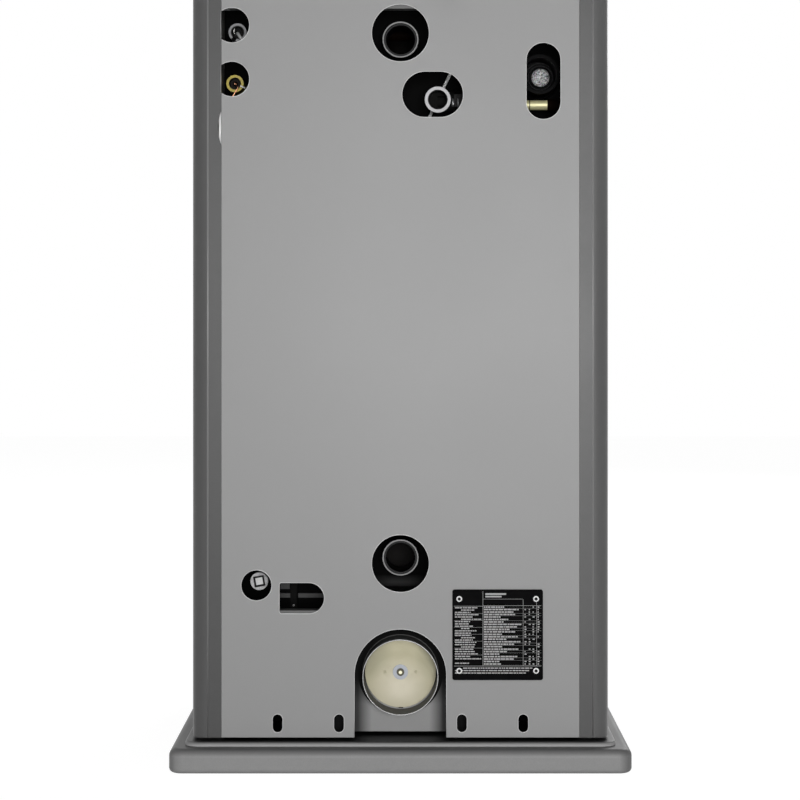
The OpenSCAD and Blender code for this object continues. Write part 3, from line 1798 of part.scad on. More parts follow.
module shaker_rod() {
  color([0.6, 0.6, 0.6])
    union() {
      rod_y(shaker_r, -shaker_end, -grate_front, 0, shaker_z);
      rod_y(shaker_knob_r, -shaker_end - shaker_knob_t, -shaker_end, 0, shaker_z);
    }
}

module cast_liners() {
  x = jacket_x - jacket_t - seat_gap;
  y = jacket_back - jacket_t - seat_gap;
  color([0.22, 0.2, 0.19])
    union() {
      span_box([-x, y - liner_t, hearth_top], [x, y, hearth_top + liner_h]);
      both_sides()
        span_box([x - liner_t, -jacket_front + liner_front, hearth_top],
          [x, y - liner_t - seat_gap, hearth_top + liner_h]);
    }
}

module baffle_plate() {
  x = jacket_x - jacket_t - seat_gap;
  color([0.7, 0.66, 0.55])
    span_box([-x, -baffle_front, baffle_z], [x, jacket_back - jacket_t - seat_gap, baffle_z + baffle_t]);
}

// A dished case with a lip on the frame's face and a stud for the needle
module thermometer() {
  y0 = -casing_front - gauge_out;
  color([0.7, 0.7, 0.7])
    union() {
      difference() {
        union() {
          rod_y(gauge_r, y0, -casing_front, 0, gauge_z);
          rod_y(gauge_r - gauge_rim - seat_gap, y0, -casing_front + gauge_deep - face_gap, 0, gauge_z);
        }
        rod_y(gauge_r - gauge_rim - gauge_lip, y0 - cut, y0 + gauge_dish, 0, gauge_z);
      }
      rod_y(gauge_stud_r, y0 + gauge_dish - 3 * needle_t, y0 + gauge_dish, 0, gauge_z);
    }
}

module thermometer_needle() {
  y1 = -casing_front - gauge_out + gauge_dish - needle_t;
  color([0.8, 0.15, 0.1])
    translate([0, 0, gauge_z])
      rotate([0, -needle_rest, 0])
        difference() {
          union() {
            rod_y(needle_hub_r, y1 - needle_t, y1, 0, 0);
            sheet_xz(y1, needle_t)
              polygon([[-needle_w / 2, 0], [needle_w / 2, 0], [0, needle_len]]);
          }
          rod_y(gauge_stud_r + run_gap, y1 - needle_t - cut, y1 + cut, 0, 0);
        }
}

base_plinth();
chassis_frame();
cross_rails();
rear_panel();
side_panel_left();
side_panel_right();
top_plate();
flue_collar();
front_frame();
data_plate();
data_plate_rivets();
boiler_shell();
firebox_jacket();
smoke_tubes();
smoke_box();
cooling_coil();
flow_pipe();
return_pipe();
drain_socket();
drain_plug();
spare_socket();
spare_plug();
probe_socket();
bulb_socket();
sensor_pockets();
capillary_tube();
sensor_clips();
discharge_elbow();
discharge_nut();
discharge_pipe();
discharge_coupling();
insulation_pads();
ash_chamber();
air_box();
air_spigot();
air_flap();
flap_carrier();
flap_fasteners();
chain_upper();
chain_lower();
chain_guide();
regulator_body();
regulator_lever();
regulator_knob();
fire_door();
door_glass();
glass_clips();
door_gasket();
door_hinge_pins();
door_handle();
door_catch();
ash_drawer();
grate();
shaker_rod();
hearth_plate();
cast_liners();
baffle_plate();
thermometer();
thermometer_needle();
air_slider();
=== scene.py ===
"""Looks of the boiler stove: camera, studio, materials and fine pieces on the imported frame.

Lengths are in metres unless a comment says otherwise. The rear cover looks along +Y, up is +Z.
"""
import json
import math
import random

import bmesh
import bpy
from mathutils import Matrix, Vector, noise


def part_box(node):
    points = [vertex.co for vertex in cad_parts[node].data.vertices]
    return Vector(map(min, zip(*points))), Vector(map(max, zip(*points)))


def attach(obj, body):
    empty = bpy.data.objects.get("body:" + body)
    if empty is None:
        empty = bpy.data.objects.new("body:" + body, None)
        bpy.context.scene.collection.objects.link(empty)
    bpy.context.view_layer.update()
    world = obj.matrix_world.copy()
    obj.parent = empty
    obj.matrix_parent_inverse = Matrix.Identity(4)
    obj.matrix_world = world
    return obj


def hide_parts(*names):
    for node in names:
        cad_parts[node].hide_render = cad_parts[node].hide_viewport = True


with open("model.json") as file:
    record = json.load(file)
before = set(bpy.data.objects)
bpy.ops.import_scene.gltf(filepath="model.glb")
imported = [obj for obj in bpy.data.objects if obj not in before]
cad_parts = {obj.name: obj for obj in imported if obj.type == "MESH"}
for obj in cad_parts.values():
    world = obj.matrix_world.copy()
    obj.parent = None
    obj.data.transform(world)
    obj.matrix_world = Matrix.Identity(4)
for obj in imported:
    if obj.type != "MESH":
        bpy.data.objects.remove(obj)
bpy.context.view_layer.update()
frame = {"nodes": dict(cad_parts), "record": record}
NODES = frame["nodes"]
SLOT_OF = {part["node"]: part["material_slot"] for part in frame["record"]["subparts"]}

# Planes along Y, as in the part's source
COVER_Y = 0.280      # outer face of the rear cover
FLAP_Y = 0.238       # face of the flap in the air spigot
PIPE_Y = 0.214       # mouths of the flow and return pipes
BOILER_Y = 0.150     # rear face of the boiler
FRONT_Y = -0.255     # face that the front's screws sit on

# Places on the rear side, as (x, z), and radii of bores
FLOW, RETURN = (0.0, 0.9595), (0.0, 0.2685)
PROBE, PROBE_BORE = (0.2174, 0.9691), 0.0086
BULB, BULB_BORE = (0.2209, 0.9008), 0.0082
ELBOW, ELBOW_BORE = (-0.0496, 0.8789), 0.0130
DRAIN, SPIGOT = (0.1885, 0.2369), (0.0, 0.12)
SPARE_PLUG, SPARE_SOCKET = (-0.1893, 0.9130), (-0.1859, 0.9134)

# Covers and data plate
COVER_Z = (0.0425, 1.1455)              # the long edges of the covers, from and to
SEAM_X, BEND_X = 0.2329, 0.2508         # where rear and side cover meet, and the side cover's bend
SENSOR_OPENINGS = [(0.2195, 0.9697), (0.2195, 0.8995)]     # half-round, cut off by the seam
SENSOR_OPENING_R = 0.023
PLATE, PLATE_HALF = (-0.1266, 0.1758), 0.059
PLATE_RIVETS = [(PLATE[0] + x, PLATE[1] + z) for x in (-0.05, 0.05) for z in (-0.0468, 0.0468)]

# Draught chain, and the thermometer's dial with angles in degrees from the top
CHAIN_TURN = (0.0454, 0.165, 0.685)
CHAIN_SLOPE = math.radians(25.7)
STOP_HEIGHT, STOP_RADIUS = 0.005, 0.0035
DIAL_Y, DIAL_Z, DIAL_FIRST, DIAL_SPAN = -0.2571, 1.010, -120, 240
DIAL_NUMBERS, DIAL_STEP, DIAL_MARKS = 7, 20, 61


# Camera, light and floor

LENS_MM, SENSOR_MM = 93.3, 36.0
CAMERA_AT = (-0.0053, 2.98, 0.595)       # level, and looks along -Y
CAMERA_SHIFT = (-0.0056, -0.109)
WORLD_LIGHT = 0.13                       # what diffuse rays get; rays that show the world get 1
FLOOR_HALF = 7.0
FLOOR_GLOW, FLOOR_SHARE = 1.16, 0.82     # its strength, and how much of the floor it makes up when seen
LAMPS = (                                # name, place, aim, size, watts
    ("key_light", (-0.25, 4.3, 0.66), (0.0, 0.2, 0.6), 1.3, 84.0),
    ("top_light", (0.2, 2.4, 4.0), (0.0, 0.1, 0.5), 2.0, 18.0),
    ("front_fill", (-1.6, -3.4, 2.4), (0.0, -0.2, 0.6), 2.4, 60.0),
)


def new_object(name, data):
    thing = bpy.data.objects.new(name, data)
    bpy.context.scene.collection.objects.link(thing)
    return thing


def make_camera():
    data = bpy.data.cameras.new("camera")
    data.lens = LENS_MM
    data.sensor_width = SENSOR_MM
    data.shift_x, data.shift_y = CAMERA_SHIFT
    data.clip_end = 60.0
    camera = new_object("camera", data)
    camera.location = CAMERA_AT
    camera.rotation_euler = (math.pi / 2, 0.0, math.pi)
    bpy.context.scene.camera = camera


def make_lamps():
    for name, place, aim, size, power in LAMPS:
        data = bpy.data.lights.new(name, "AREA")
        data.shape = "DISK"
        data.size = size
        data.energy = power
        lamp = new_object(name, data)
        lamp.location = place
        lamp.rotation_euler = (Vector(aim) - Vector(place)).to_track_quat("-Z", "Y").to_euler()


def camera_like_rays(tree):
    """A value of 1 for rays that show the background: camera, mirror and glass rays."""
    path = tree.nodes.new("ShaderNodeLightPath")
    value = path.outputs["Is Camera Ray"]
    for kind in ("Is Glossy Ray", "Is Transmission Ray"):
        either = tree.nodes.new("ShaderNodeMath")
        either.operation = "MAXIMUM"
        tree.links.new(value, either.inputs[0])
        tree.links.new(path.outputs[kind], either.inputs[1])
        value = either.outputs[0]
    return value


def make_world():
    bpy.context.scene.view_settings.view_transform = "Standard"
    world = bpy.data.worlds.new("studio")
    bpy.context.scene.world = world
    world.use_nodes = True
    tree = world.node_tree
    back = tree.nodes["Background"]
    back.inputs["Color"].default_value = (1.0, 1.0, 1.0, 1.0)
    level = tree.nodes.new("ShaderNodeMapRange")
    level.inputs["To Min"].default_value = WORLD_LIGHT
    level.inputs["To Max"].default_value = 1.0
    tree.links.new(camera_like_rays(tree), level.inputs["Value"])
    tree.links.new(level.outputs["Result"], back.inputs["Strength"])


def make_floor():
    mesh = bpy.data.meshes.new("studio_floor")
    corners = [(a * FLOOR_HALF, b * FLOOR_HALF, 0.0) for a, b in ((-1, -1), (1, -1), (1, 1), (-1, 1))]
    mesh.from_pydata(corners, [], [(0, 1, 2, 3)])
    floor = new_object("studio_floor", mesh)
    g = Graph("studio_floor")
    g.surface("Base Color", shade(even(0.93)))
    g.surface("Roughness", 0.9)
    glow = g.add("ShaderNodeEmission")
    glow.inputs["Strength"].default_value = FLOOR_GLOW
    both = g.add("ShaderNodeMixShader")
    g.link(g.times(camera_like_rays(g.tree), FLOOR_SHARE), both.inputs[0])
    g.link(g.shader.outputs[0], both.inputs[1])
    g.link(glow.outputs[0], both.inputs[2])
    g.link(both.outputs[0], g.out.inputs["Surface"])
    floor.data.materials.append(g.mat)


# Material building blocks

MATERIALS = {}


def shade(color, factor=1.0):
    """A node's colour value from linear red, green and blue."""
    return tuple(min(1.0, c * factor) for c in color) + (1.0,)


def even(level):
    """Neutral colour from a linear level."""
    return (level, level, level)


def grey(level):
    """Neutral colour from an sRGB level of 0 to 255."""
    c = level / 255.0
    return even(c / 12.92 if c <= 0.04045 else ((c + 0.055) / 1.055) ** 2.4)


class Graph:
    """The node tree of one material, in metres of the object's own space."""

    def __init__(self, name):
        self.mat = MATERIALS[name] = bpy.data.materials.new(name)
        self.mat.use_nodes = True
        self.tree = self.mat.node_tree
        self.tree.nodes.clear()
        self.out = self.add("ShaderNodeOutputMaterial")
        self.shader = self.add("ShaderNodeBsdfPrincipled")
        self.link(self.shader.outputs[0], self.out.inputs["Surface"])
        self.place = self.add("ShaderNodeTexCoord").outputs["Object"]

    def add(self, kind):
        return self.tree.nodes.new(kind)

    def link(self, a, b):
        self.tree.links.new(a, b)

    def set(self, socket, value):
        if isinstance(value, bpy.types.NodeSocket):
            self.link(value, socket)
        else:
            socket.default_value = value

    def surface(self, name, value):
        """Sets one of the shader's own sockets to a value, or links it."""
        self.set(self.shader.inputs[name], value)

    def stretched(self, stretch):
        if stretch == (1, 1, 1):
            return self.place
        node = self.add("ShaderNodeMapping")
        self.link(self.place, node.inputs["Vector"])
        node.inputs["Scale"].default_value = stretch
        return node.outputs[0]

    def noise(self, size, detail=3.0, stretch=(1, 1, 1), rough=0.5, warp=0.0):
        """Cloudy noise, 0 to 1, with lumps of about the given size."""
        node = self.add("ShaderNodeTexNoise")
        self.link(self.stretched(stretch), node.inputs["Vector"])
        node.inputs["Scale"].default_value = 1.0 / size
        node.inputs["Detail"].default_value = detail
        node.inputs["Roughness"].default_value = rough
        node.inputs["Distortion"].default_value = warp
        return node.outputs["Fac"]

    def cell_colors(self, size):
        """A random colour for each cell of about the given size."""
        node = self.add("ShaderNodeTexVoronoi")
        self.link(self.place, node.inputs["Vector"])
        node.inputs["Scale"].default_value = 1.0 / size
        return node.outputs["Color"]

    def maths(self, operation, a, b=0.0):
        node = self.add("ShaderNodeMath")
        node.operation = operation
        self.set(node.inputs[0], a)
        self.set(node.inputs[1], b)
        return node.outputs[0]

    def times(self, a, b):
        return self.maths("MULTIPLY", a, b)

    def spread(self, value, low, high, start=0.0, end=1.0):
        """low at start and before it, high at end and after it."""
        node = self.add("ShaderNodeMapRange")
        self.set(node.inputs["Value"], value)
        node.inputs["From Min"].default_value = start
        node.inputs["From Max"].default_value = end
        node.inputs["To Min"].default_value = low
        node.inputs["To Max"].default_value = high
        return node.outputs["Result"]

    def rise(self, value, start, end, top=1.0):
        return self.spread(value, 0.0, top, start, end)

    def fall(self, value, start, end, top=1.0):
        return self.spread(value, top, 0.0, start, end)

    def band(self, value, start, full, back, end, top=1.0):
        """top between full and back, 0 before start and after end."""
        return self.times(self.rise(value, start, full, top), self.fall(value, back, end))

    def mix(self, share, a, b, kind="MIX"):
        node = self.add("ShaderNodeMix")
        node.data_type = "RGBA"
        node.blend_type = kind
        self.set(node.inputs[0], share)
        self.set(node.inputs[6], a)
        self.set(node.inputs[7], b)
        return node.outputs[2]

    def axis(self, name):
        node = self.add("ShaderNodeSeparateXYZ")
        self.link(self.place, node.inputs[0])
        return node.outputs[name]

    def beside(self):
        """Distance from the middle plane, left or right."""
        return self.maths("ABSOLUTE", self.axis("X"))

    def distance(self, source, centre):
        node = self.add("ShaderNodeVectorMath")
        node.operation = "DISTANCE"
        self.link(source, node.inputs[0])
        node.inputs[1].default_value = centre
        return node.outputs["Value"]

    def away(self, at):
        """Distance from the line through (x, z) that runs along Y."""
        return self.distance(self.stretched((1, 0, 1)), (at[0], 0, at[1]))

    def lay(self, share, color, rough=None, metal=None):
        """Lays a second colour, and a roughness and metal if given, over the finish by a share."""
        socket = self.shader.inputs["Base Color"]
        self.link(self.mix(share, socket.links[0].from_socket, shade(color)), socket)
        for name, value in (("Roughness", rough), ("Metallic", metal)):
            if value is None:
                continue
            socket = self.shader.inputs[name]
            before = socket.links[0].from_socket if socket.links else socket.default_value
            kept = self.times(self.spread(share, 1.0, 0.0), before)
            self.link(self.maths("ADD", kept, self.spread(share, 0.0, value)), socket)

    def bump(self, height, depth):
        node = self.add("ShaderNodeBump")
        node.inputs["Strength"].default_value = 1.0
        node.inputs["Distance"].default_value = depth
        self.link(height, node.inputs["Height"])
        self.surface("Normal", node.outputs[0])


def finish(name, color, rough, metal=0.0, cloud=0.06, cloud_size=0.3, grain=0.05, grain_size=0.0015,
           stretch=(1, 1, 1), depth=0.00003, dust=0.0, dust_color=(0.3, 0.28, 0.25), stain=0.0,
           stain_color=(0.1, 0.06, 0.03), stain_size=0.05, shine=0.5):
    """A worn metal or paint finish: slow colour clouds, fine grain, dust, stains, uneven gloss and bump."""
    g = Graph(name)
    slow = g.noise(cloud_size, 3.0)
    fine = g.noise(grain_size, 2.0, stretch)
    base = g.mix(slow, shade(color, 1 - cloud), shade(color, 1 + cloud))
    darker = g.mix(1.0, base, shade(even(1 - grain)), "MULTIPLY")
    base = g.mix(g.rise(fine, 0.3, 0.7), darker, base)
    if stain:
        patch = g.rise(g.noise(stain_size, 5.0, warp=0.6), 0.52, 0.72, stain)
        base = g.mix(patch, base, shade(stain_color))
    if dust:
        film = g.rise(g.noise(0.012, 6.0, rough=0.7), 0.35, 0.75, dust)
        base = g.mix(film, base, shade(dust_color))
    g.surface("Base Color", base)
    g.surface("Metallic", metal)
    gloss = g.spread(fine, rough - 0.05, rough + 0.05)
    g.surface("Roughness", g.maths("ADD", g.spread(slow, -0.06, 0.06), gloss))
    g.surface("Specular IOR Level", shine)
    g.bump(g.maths("ADD", fine, g.times(slow, 0.4)), depth)
    return g


# Finishes of whole slots

def paint_materials():
    finish("rear_cover", grey(156), 0.36, cloud=0.018, cloud_size=0.22, grain=0.035, grain_size=0.0009,
           depth=0.000025, shine=0.2)
    finish("black_steel", even(0.022), 0.6, cloud=0.15, grain=0.12, dust=0.12)
    finish("plate_black", (0.003, 0.003, 0.0033), 0.6, cloud=0.1, cloud_size=0.03, grain=0.1,
           grain_size=0.0006, dust=0.008, shine=0.015)
    finish("black_plastic", (0.015, 0.015, 0.016), 0.38, cloud=0.08, grain=0.15, grain_size=0.0007,
           depth=0.00004)
    finish("needle_red", (0.55, 0.03, 0.02), 0.4, cloud=0.06, cloud_size=0.01, grain=0.05)

    g = finish("chassis", even(0.002), 0.7, cloud=0.1, grain=0.1, shine=0.03)
    # painted light: the black chassis is made lighter under the side covers, where the gap shows soft shade
    painted_light_under_side_covers = g.rise(g.beside(), 0.2310, 0.2360)
    g.lay(painted_light_under_side_covers, even(0.11))

    g = finish("jacket_paint", (0.0022, 0.0022, 0.0024), 0.5, cloud=0.3, cloud_size=0.06, grain=0.2, dust=0.02,
               dust_color=even(0.02), shine=0.02)
    # painted light: a lit patch on the dark boiler face below the return pipe
    painted_light_below_return = g.band(g.axis("Z"), 0.2170, 0.2275, 0.2275, 0.2380)
    g.lay(g.times(painted_light_below_return, g.fall(g.beside(), 0.012, 0.055)), even(0.05))


def cast_materials():
    finish("top_casting", (0.09, 0.09, 0.093), 0.55, cloud=0.1, grain=0.2, grain_size=0.0016, depth=0.00012,
           dust=0.12)
    finish("front_casting", (0.04, 0.04, 0.041), 0.58, cloud=0.1, grain=0.25, grain_size=0.0016,
           depth=0.00014, dust=0.08)
    finish("raw_casting", (0.06, 0.055, 0.05), 0.7, metal=0.4, cloud=0.25, cloud_size=0.05, grain=0.3,
           grain_size=0.002, depth=0.0002, stain=0.5, stain_color=(0.12, 0.05, 0.02))
    finish("vermiculite", (0.42, 0.36, 0.27), 0.9, cloud=0.12, cloud_size=0.05, grain=0.35,
           grain_size=0.0025, depth=0.0003, stain=0.35, stain_color=(0.08, 0.07, 0.06))


def metal_materials():
    finish("rails", even(0.075), 0.45, metal=0.25, cloud=0.12, cloud_size=0.02, grain=0.1, grain_size=0.001,
           stretch=(0.1, 1, 1))
    finish("bare_plate", (0.011, 0.01, 0.0095), 0.7, metal=0.1, cloud=0.3, cloud_size=0.04, grain=0.2,
           stain=0.4, stain_color=(0.02, 0.011, 0.007), shine=0.1)
    finish("copper", (0.72, 0.35, 0.2), 0.3, metal=1.0, cloud=0.12, cloud_size=0.01, grain=0.08,
           grain_size=0.0006, depth=0.00001, stain=0.3, stain_color=(0.3, 0.14, 0.08), stain_size=0.01)
    finish("dark_pipe", (0.012, 0.012, 0.013), 0.42, metal=0.3, cloud=0.25, cloud_size=0.02, grain=0.2,
           grain_size=0.0012, stretch=(1, 0.15, 1), depth=0.00005, shine=0.3)
    finish("zinc", (0.72, 0.73, 0.74), 0.3, metal=0.9, cloud=0.1, cloud_size=0.008, grain=0.15,
           grain_size=0.0007, depth=0.00002)
    finish("regulator_brass", (0.5, 0.4, 0.2), 0.42, metal=0.9, cloud=0.15, cloud_size=0.01, grain=0.15,
           depth=0.00005)
    finish("spring_steel", (0.82, 0.82, 0.8), 0.25, metal=0.9, cloud=0.1, cloud_size=0.004, grain=0.08,
           grain_size=0.0004, depth=0.00001)
    finish("bead_chain", (0.98, 0.98, 0.97), 0.42, metal=0.6, cloud=0.1, cloud_size=0.003, grain=0.1,
           grain_size=0.0004, depth=0.00001)
    finish("handle_steel", even(0.55), 0.32, metal=1.0, cloud=0.08, grain=0.1, grain_size=0.0008,
           stretch=(1, 1, 0.08))


def yellow_disc():
    """Cream passivated zinc, with painted shade in olive towards each upper shoulder and painted light low in
    the middle.
    """
    g = Graph("yellow_zinc")

    def spot(x, z, inner, outer):
        """1 near a point of the disc, fading to 0."""
        return g.fall(g.distance(g.place, (x, FLAP_Y, z)), inner, outer)

    # painted shade: olive darkening towards each upper shoulder of the disc
    painted_shade_shoulders = g.maths("MAXIMUM", spot(0.050, 0.146, 0.008, 0.042), spot(-0.054, 0.140, 0.006, 0.036))
    base = g.mix(painted_shade_shoulders, shade((0.43, 0.395, 0.255)), shade((0.22, 0.21, 0.125)))
    # painted light: a paler spot low in the middle of the disc
    base = g.mix(g.times(spot(0.0, 0.098, 0.008, 0.045), 0.8), base, shade((0.7, 0.65, 0.52)))
    base = g.mix(g.spread(g.noise(0.02, 4.0), 0.0, 0.25), base, shade((0.38, 0.36, 0.25)))
    base = g.mix(g.rise(g.noise(0.0006, 2.0), 0.4, 0.8, 0.12), base, shade((0.33, 0.31, 0.22)))
    g.surface("Base Color", base)
    g.surface("Metallic", 0.15)
    g.surface("Roughness", g.spread(g.noise(0.01, 3.0), 0.34, 0.5))
    g.bump(g.noise(0.02, 2.0), 0.0003)


def fibres(g, hair, patch, colors, rough, sheen, depth):
    """Matted fibres: dark and light hairs, and a third colour in patches."""
    dark, light, soiled = (shade(color) for color in colors)
    g.surface("Base Color", g.mix(patch, g.mix(hair, dark, light), soiled))
    g.surface("Roughness", rough)
    g.surface("Sheen Weight", sheen)
    g.bump(hair, depth)


def soft_materials():
    g = Graph("mineral_wool")
    fibres(g, g.noise(0.0012, 4.0, (0.25, 1, 1), 0.7, 1.2), g.spread(g.noise(0.05, 3.0), 0.0, 0.4),
           (even(0.012), (0.05, 0.048, 0.045), (0.03, 0.028, 0.02)), 0.95, 0.3, 0.0012)
    g = Graph("gasket_rope")
    fibres(g, g.noise(0.0006, 3.0, rough=0.6), g.rise(g.noise(0.03, 4.0), 0.5, 0.8, 0.5),
           ((0.36, 0.34, 0.29), (0.62, 0.6, 0.54), (0.1, 0.09, 0.08)), 0.9, 0.2, 0.0003)


def door_glass():
    g = Graph("ceramic_glass")
    g.surface("Base Color", shade((0.5, 0.47, 0.42)))
    g.surface("Transmission Weight", 1.0)
    g.surface("IOR", 1.5)
    soot = g.noise(0.06, 5.0, rough=0.6)
    g.surface("Roughness", g.spread(soot, 0.01, 0.1, 0.5, 0.85))
    g.bump(g.noise(0.15, 1.0), 0.00002)


# Finishes of single nodes, whose colour changes from one face to the next

def cover_paint():
    g = finish("side_paint", grey(81), 0.35, cloud=0.04, cloud_size=0.16, grain=0.05, grain_size=0.0011,
               dust=0.05, dust_color=even(0.2), shine=0.26)
    # painted light: the rounded corner beyond the bend is made lighter
    painted_light_beyond_bend = g.rise(g.beside(), 0.2500, 0.2520, 0.25)
    g.lay(painted_light_beyond_bend, grey(120))
    # painted shade: the side cover at +X is made darker
    painted_shade_side = g.rise(g.axis("X"), 0.2300, 0.2335, 0.2)
    g.lay(painted_shade_side, grey(50))


def plinth_paint():
    """Pale faces, with painted light on the upper riser, and painted shade at each end, at the foot, behind the
    rear cover, and gathered at each step and under the casing.
    """
    g = finish("plinth_paint", grey(146), 0.45, cloud=0.04, cloud_size=0.12, grain=0.07, grain_size=0.0013,
               depth=0.00004, dust=0.1, dust_color=(0.42, 0.41, 0.4), shine=0.25)
    x, z, beside = g.axis("X"), g.axis("Z"), g.beside()
    # painted shade: both sides of the plinth are made darker
    painted_shade_ends = g.maths("MAXIMUM", g.fall(x, -0.2995, -0.2830, 0.62), g.rise(x, 0.2900, 0.2990, 0.4))
    g.lay(painted_shade_ends, grey(40))
    # painted light: the riser of the upper tier is made lighter
    painted_light_upper_riser = g.band(z, 0.0317, 0.0321, 0.0370, 0.0374, 0.5)
    g.lay(painted_light_upper_riser, grey(205))
    shade_under_casing = g.times(g.rise(z, 0.0330, 0.0376, 0.96), g.spread(beside, 1.0, 0.62, 0.2620, 0.2800))
    g.lay(shade_under_casing, even(0.006))
    shade_under_riser = g.band(z, 0.0222, 0.0312, 0.0317, 0.0321, 0.74)
    g.lay(shade_under_riser, even(0.01))
    # painted shadow: contact shadow along the bottom edge of the plinth
    foot = g.fall(z, 0.0005, 0.0045, 0.35)
    g.lay(foot, even(0.02))
    # painted shade: the plinth's top under the rear cover is made near-black
    painted_shade_behind_cover = g.times(g.fall(g.axis("Y"), 0.2790, 0.2815), g.fall(beside, 0.2700, 0.2725))
    g.lay(g.times(painted_shade_behind_cover, g.rise(z, 0.0365, 0.0372)), even(0.003))


def pipe_materials():
    g = finish("pipe_steel", (0.004, 0.004, 0.0043), 0.4, metal=0.1, cloud=0.25, cloud_size=0.02, grain=0.2,
               grain_size=0.0012, stretch=(1, 0.15, 1), depth=0.00005, shine=0.15)
    for at in (FLOW, RETURN):
        wall = g.band(g.away(at), 0.0222, 0.0225, 0.0238, 0.0241)
        mouth = g.rise(g.axis("Y"), PIPE_Y - 0.0009, PIPE_Y - 0.0003)
        g.lay(g.times(wall, mouth), even(0.3))
    finish("thread_steel", (0.014, 0.014, 0.015), 0.35, metal=0.1, shine=0.2, cloud=0.2, cloud_size=0.005,
           grain=0.2, grain_size=0.0006, depth=0.00002)
    finish("dark_socket", (0.0018, 0.0018, 0.002), 0.36, cloud=0.3, cloud_size=0.01, grain=0.2,
           grain_size=0.001, depth=0.00006, shine=0.02)
    finish("old_copper", (0.007, 0.0035, 0.002), 0.6, cloud=0.3, cloud_size=0.02, grain=0.2, stain=0.5,
           stain_color=(0.004, 0.004, 0.003), shine=0.02)
    finish("weld", even(0.003), 0.45, cloud=0.3, cloud_size=0.006, grain=0.25, grain_size=0.0009,
           depth=0.0001, stain=0.4, stain_color=(0.008, 0.005, 0.004), shine=0.02)

    g = Graph("galvanised")
    lumps = g.noise(0.0021, 5.0, rough=0.75, warp=0.5)
    base = g.mix(g.rise(lumps, 0.42, 0.58), shade((0.06, 0.06, 0.062)), shade((0.76, 0.77, 0.79)))
    g.surface("Base Color", g.mix(0.25, base, g.cell_colors(0.0016), "SOFT_LIGHT"))
    g.surface("Metallic", 0.12)
    g.surface("Roughness", g.spread(lumps, 0.65, 0.45))
    g.bump(lumps, 0.0002)


def drain_face():
    """Mottled zinc plug, with painted shade as a dark band round its tilted square."""
    g = finish("drain_zinc", (0.66, 0.66, 0.67), 0.5, metal=0.1, cloud=0.3, cloud_size=0.005, grain=0.35,
               grain_size=0.0012, depth=0.00006, stain=0.8, stain_color=even(0.05), stain_size=0.009)
    turn = g.add("ShaderNodeVectorRotate")
    turn.rotation_type = "Y_AXIS"
    g.link(g.place, turn.inputs["Vector"])
    turn.inputs["Center"].default_value = (DRAIN[0], 0.0, DRAIN[1])
    turn.inputs["Angle"].default_value = math.radians(-10)
    parts = g.add("ShaderNodeSeparateXYZ")
    g.link(turn.outputs[0], parts.inputs[0])
    across, up = (g.maths("ABSOLUTE", g.maths("SUBTRACT", parts.outputs[name], middle))
                  for name, middle in zip("XZ", DRAIN))
    far = g.maths("MAXIMUM", across, up)
    # painted shade: a near-black band in the recess round the square
    square, painted_shade_joint = g.fall(far, 0.0045, 0.0049, 0.7), g.band(far, 0.0045, 0.0049, 0.0070, 0.0074)
    g.lay(square, even(0.86))
    g.lay(painted_shade_joint, even(0.004), 0.9, 0.0)


def discharge_materials():
    g = finish("elbow_zinc", (0.52, 0.52, 0.53), 0.45, metal=0.2, cloud=0.2, cloud_size=0.008, grain=0.2,
               grain_size=0.0009, depth=0.00004, shine=0.12)
    # painted shade: the elbow's bore is made near-black
    painted_shade_in_bore = g.fall(g.away(ELBOW), ELBOW_BORE - 0.00005, ELBOW_BORE + 0.0003)
    g.lay(painted_shade_in_bore, even(0.01), 0.8, 0.0)
    # painted shade: the elbow behind its mouth ring is made near-black
    painted_shade_behind_mouth = g.fall(g.axis("Y"), 0.2165, 0.2178)
    g.lay(painted_shade_behind_mouth, even(0.008), 0.8, 0.0)
    finish("dark_zinc", (0.006, 0.006, 0.0063), 0.32, metal=0.1, cloud=0.3, cloud_size=0.006, grain=0.25,
           grain_size=0.0007, stain=0.5, stain_color=even(0.02), stain_size=0.01, shine=0.04)
    g = finish("coupling_brass", (1.0, 0.9, 0.52), 0.48, metal=0.35, shine=1.0, cloud=0.1, cloud_size=0.01,
               grain=0.1, grain_size=0.0006, depth=0.00001, stain=0.2, stain_color=(0.7, 0.55, 0.25),
               stain_size=0.012)
    # painted shade: a dark line in the coupling's groove
    groove = g.band(g.axis("X"), -0.1740, -0.1737, -0.1728, -0.1725)
    g.lay(groove, (0.03, 0.02, 0.008))


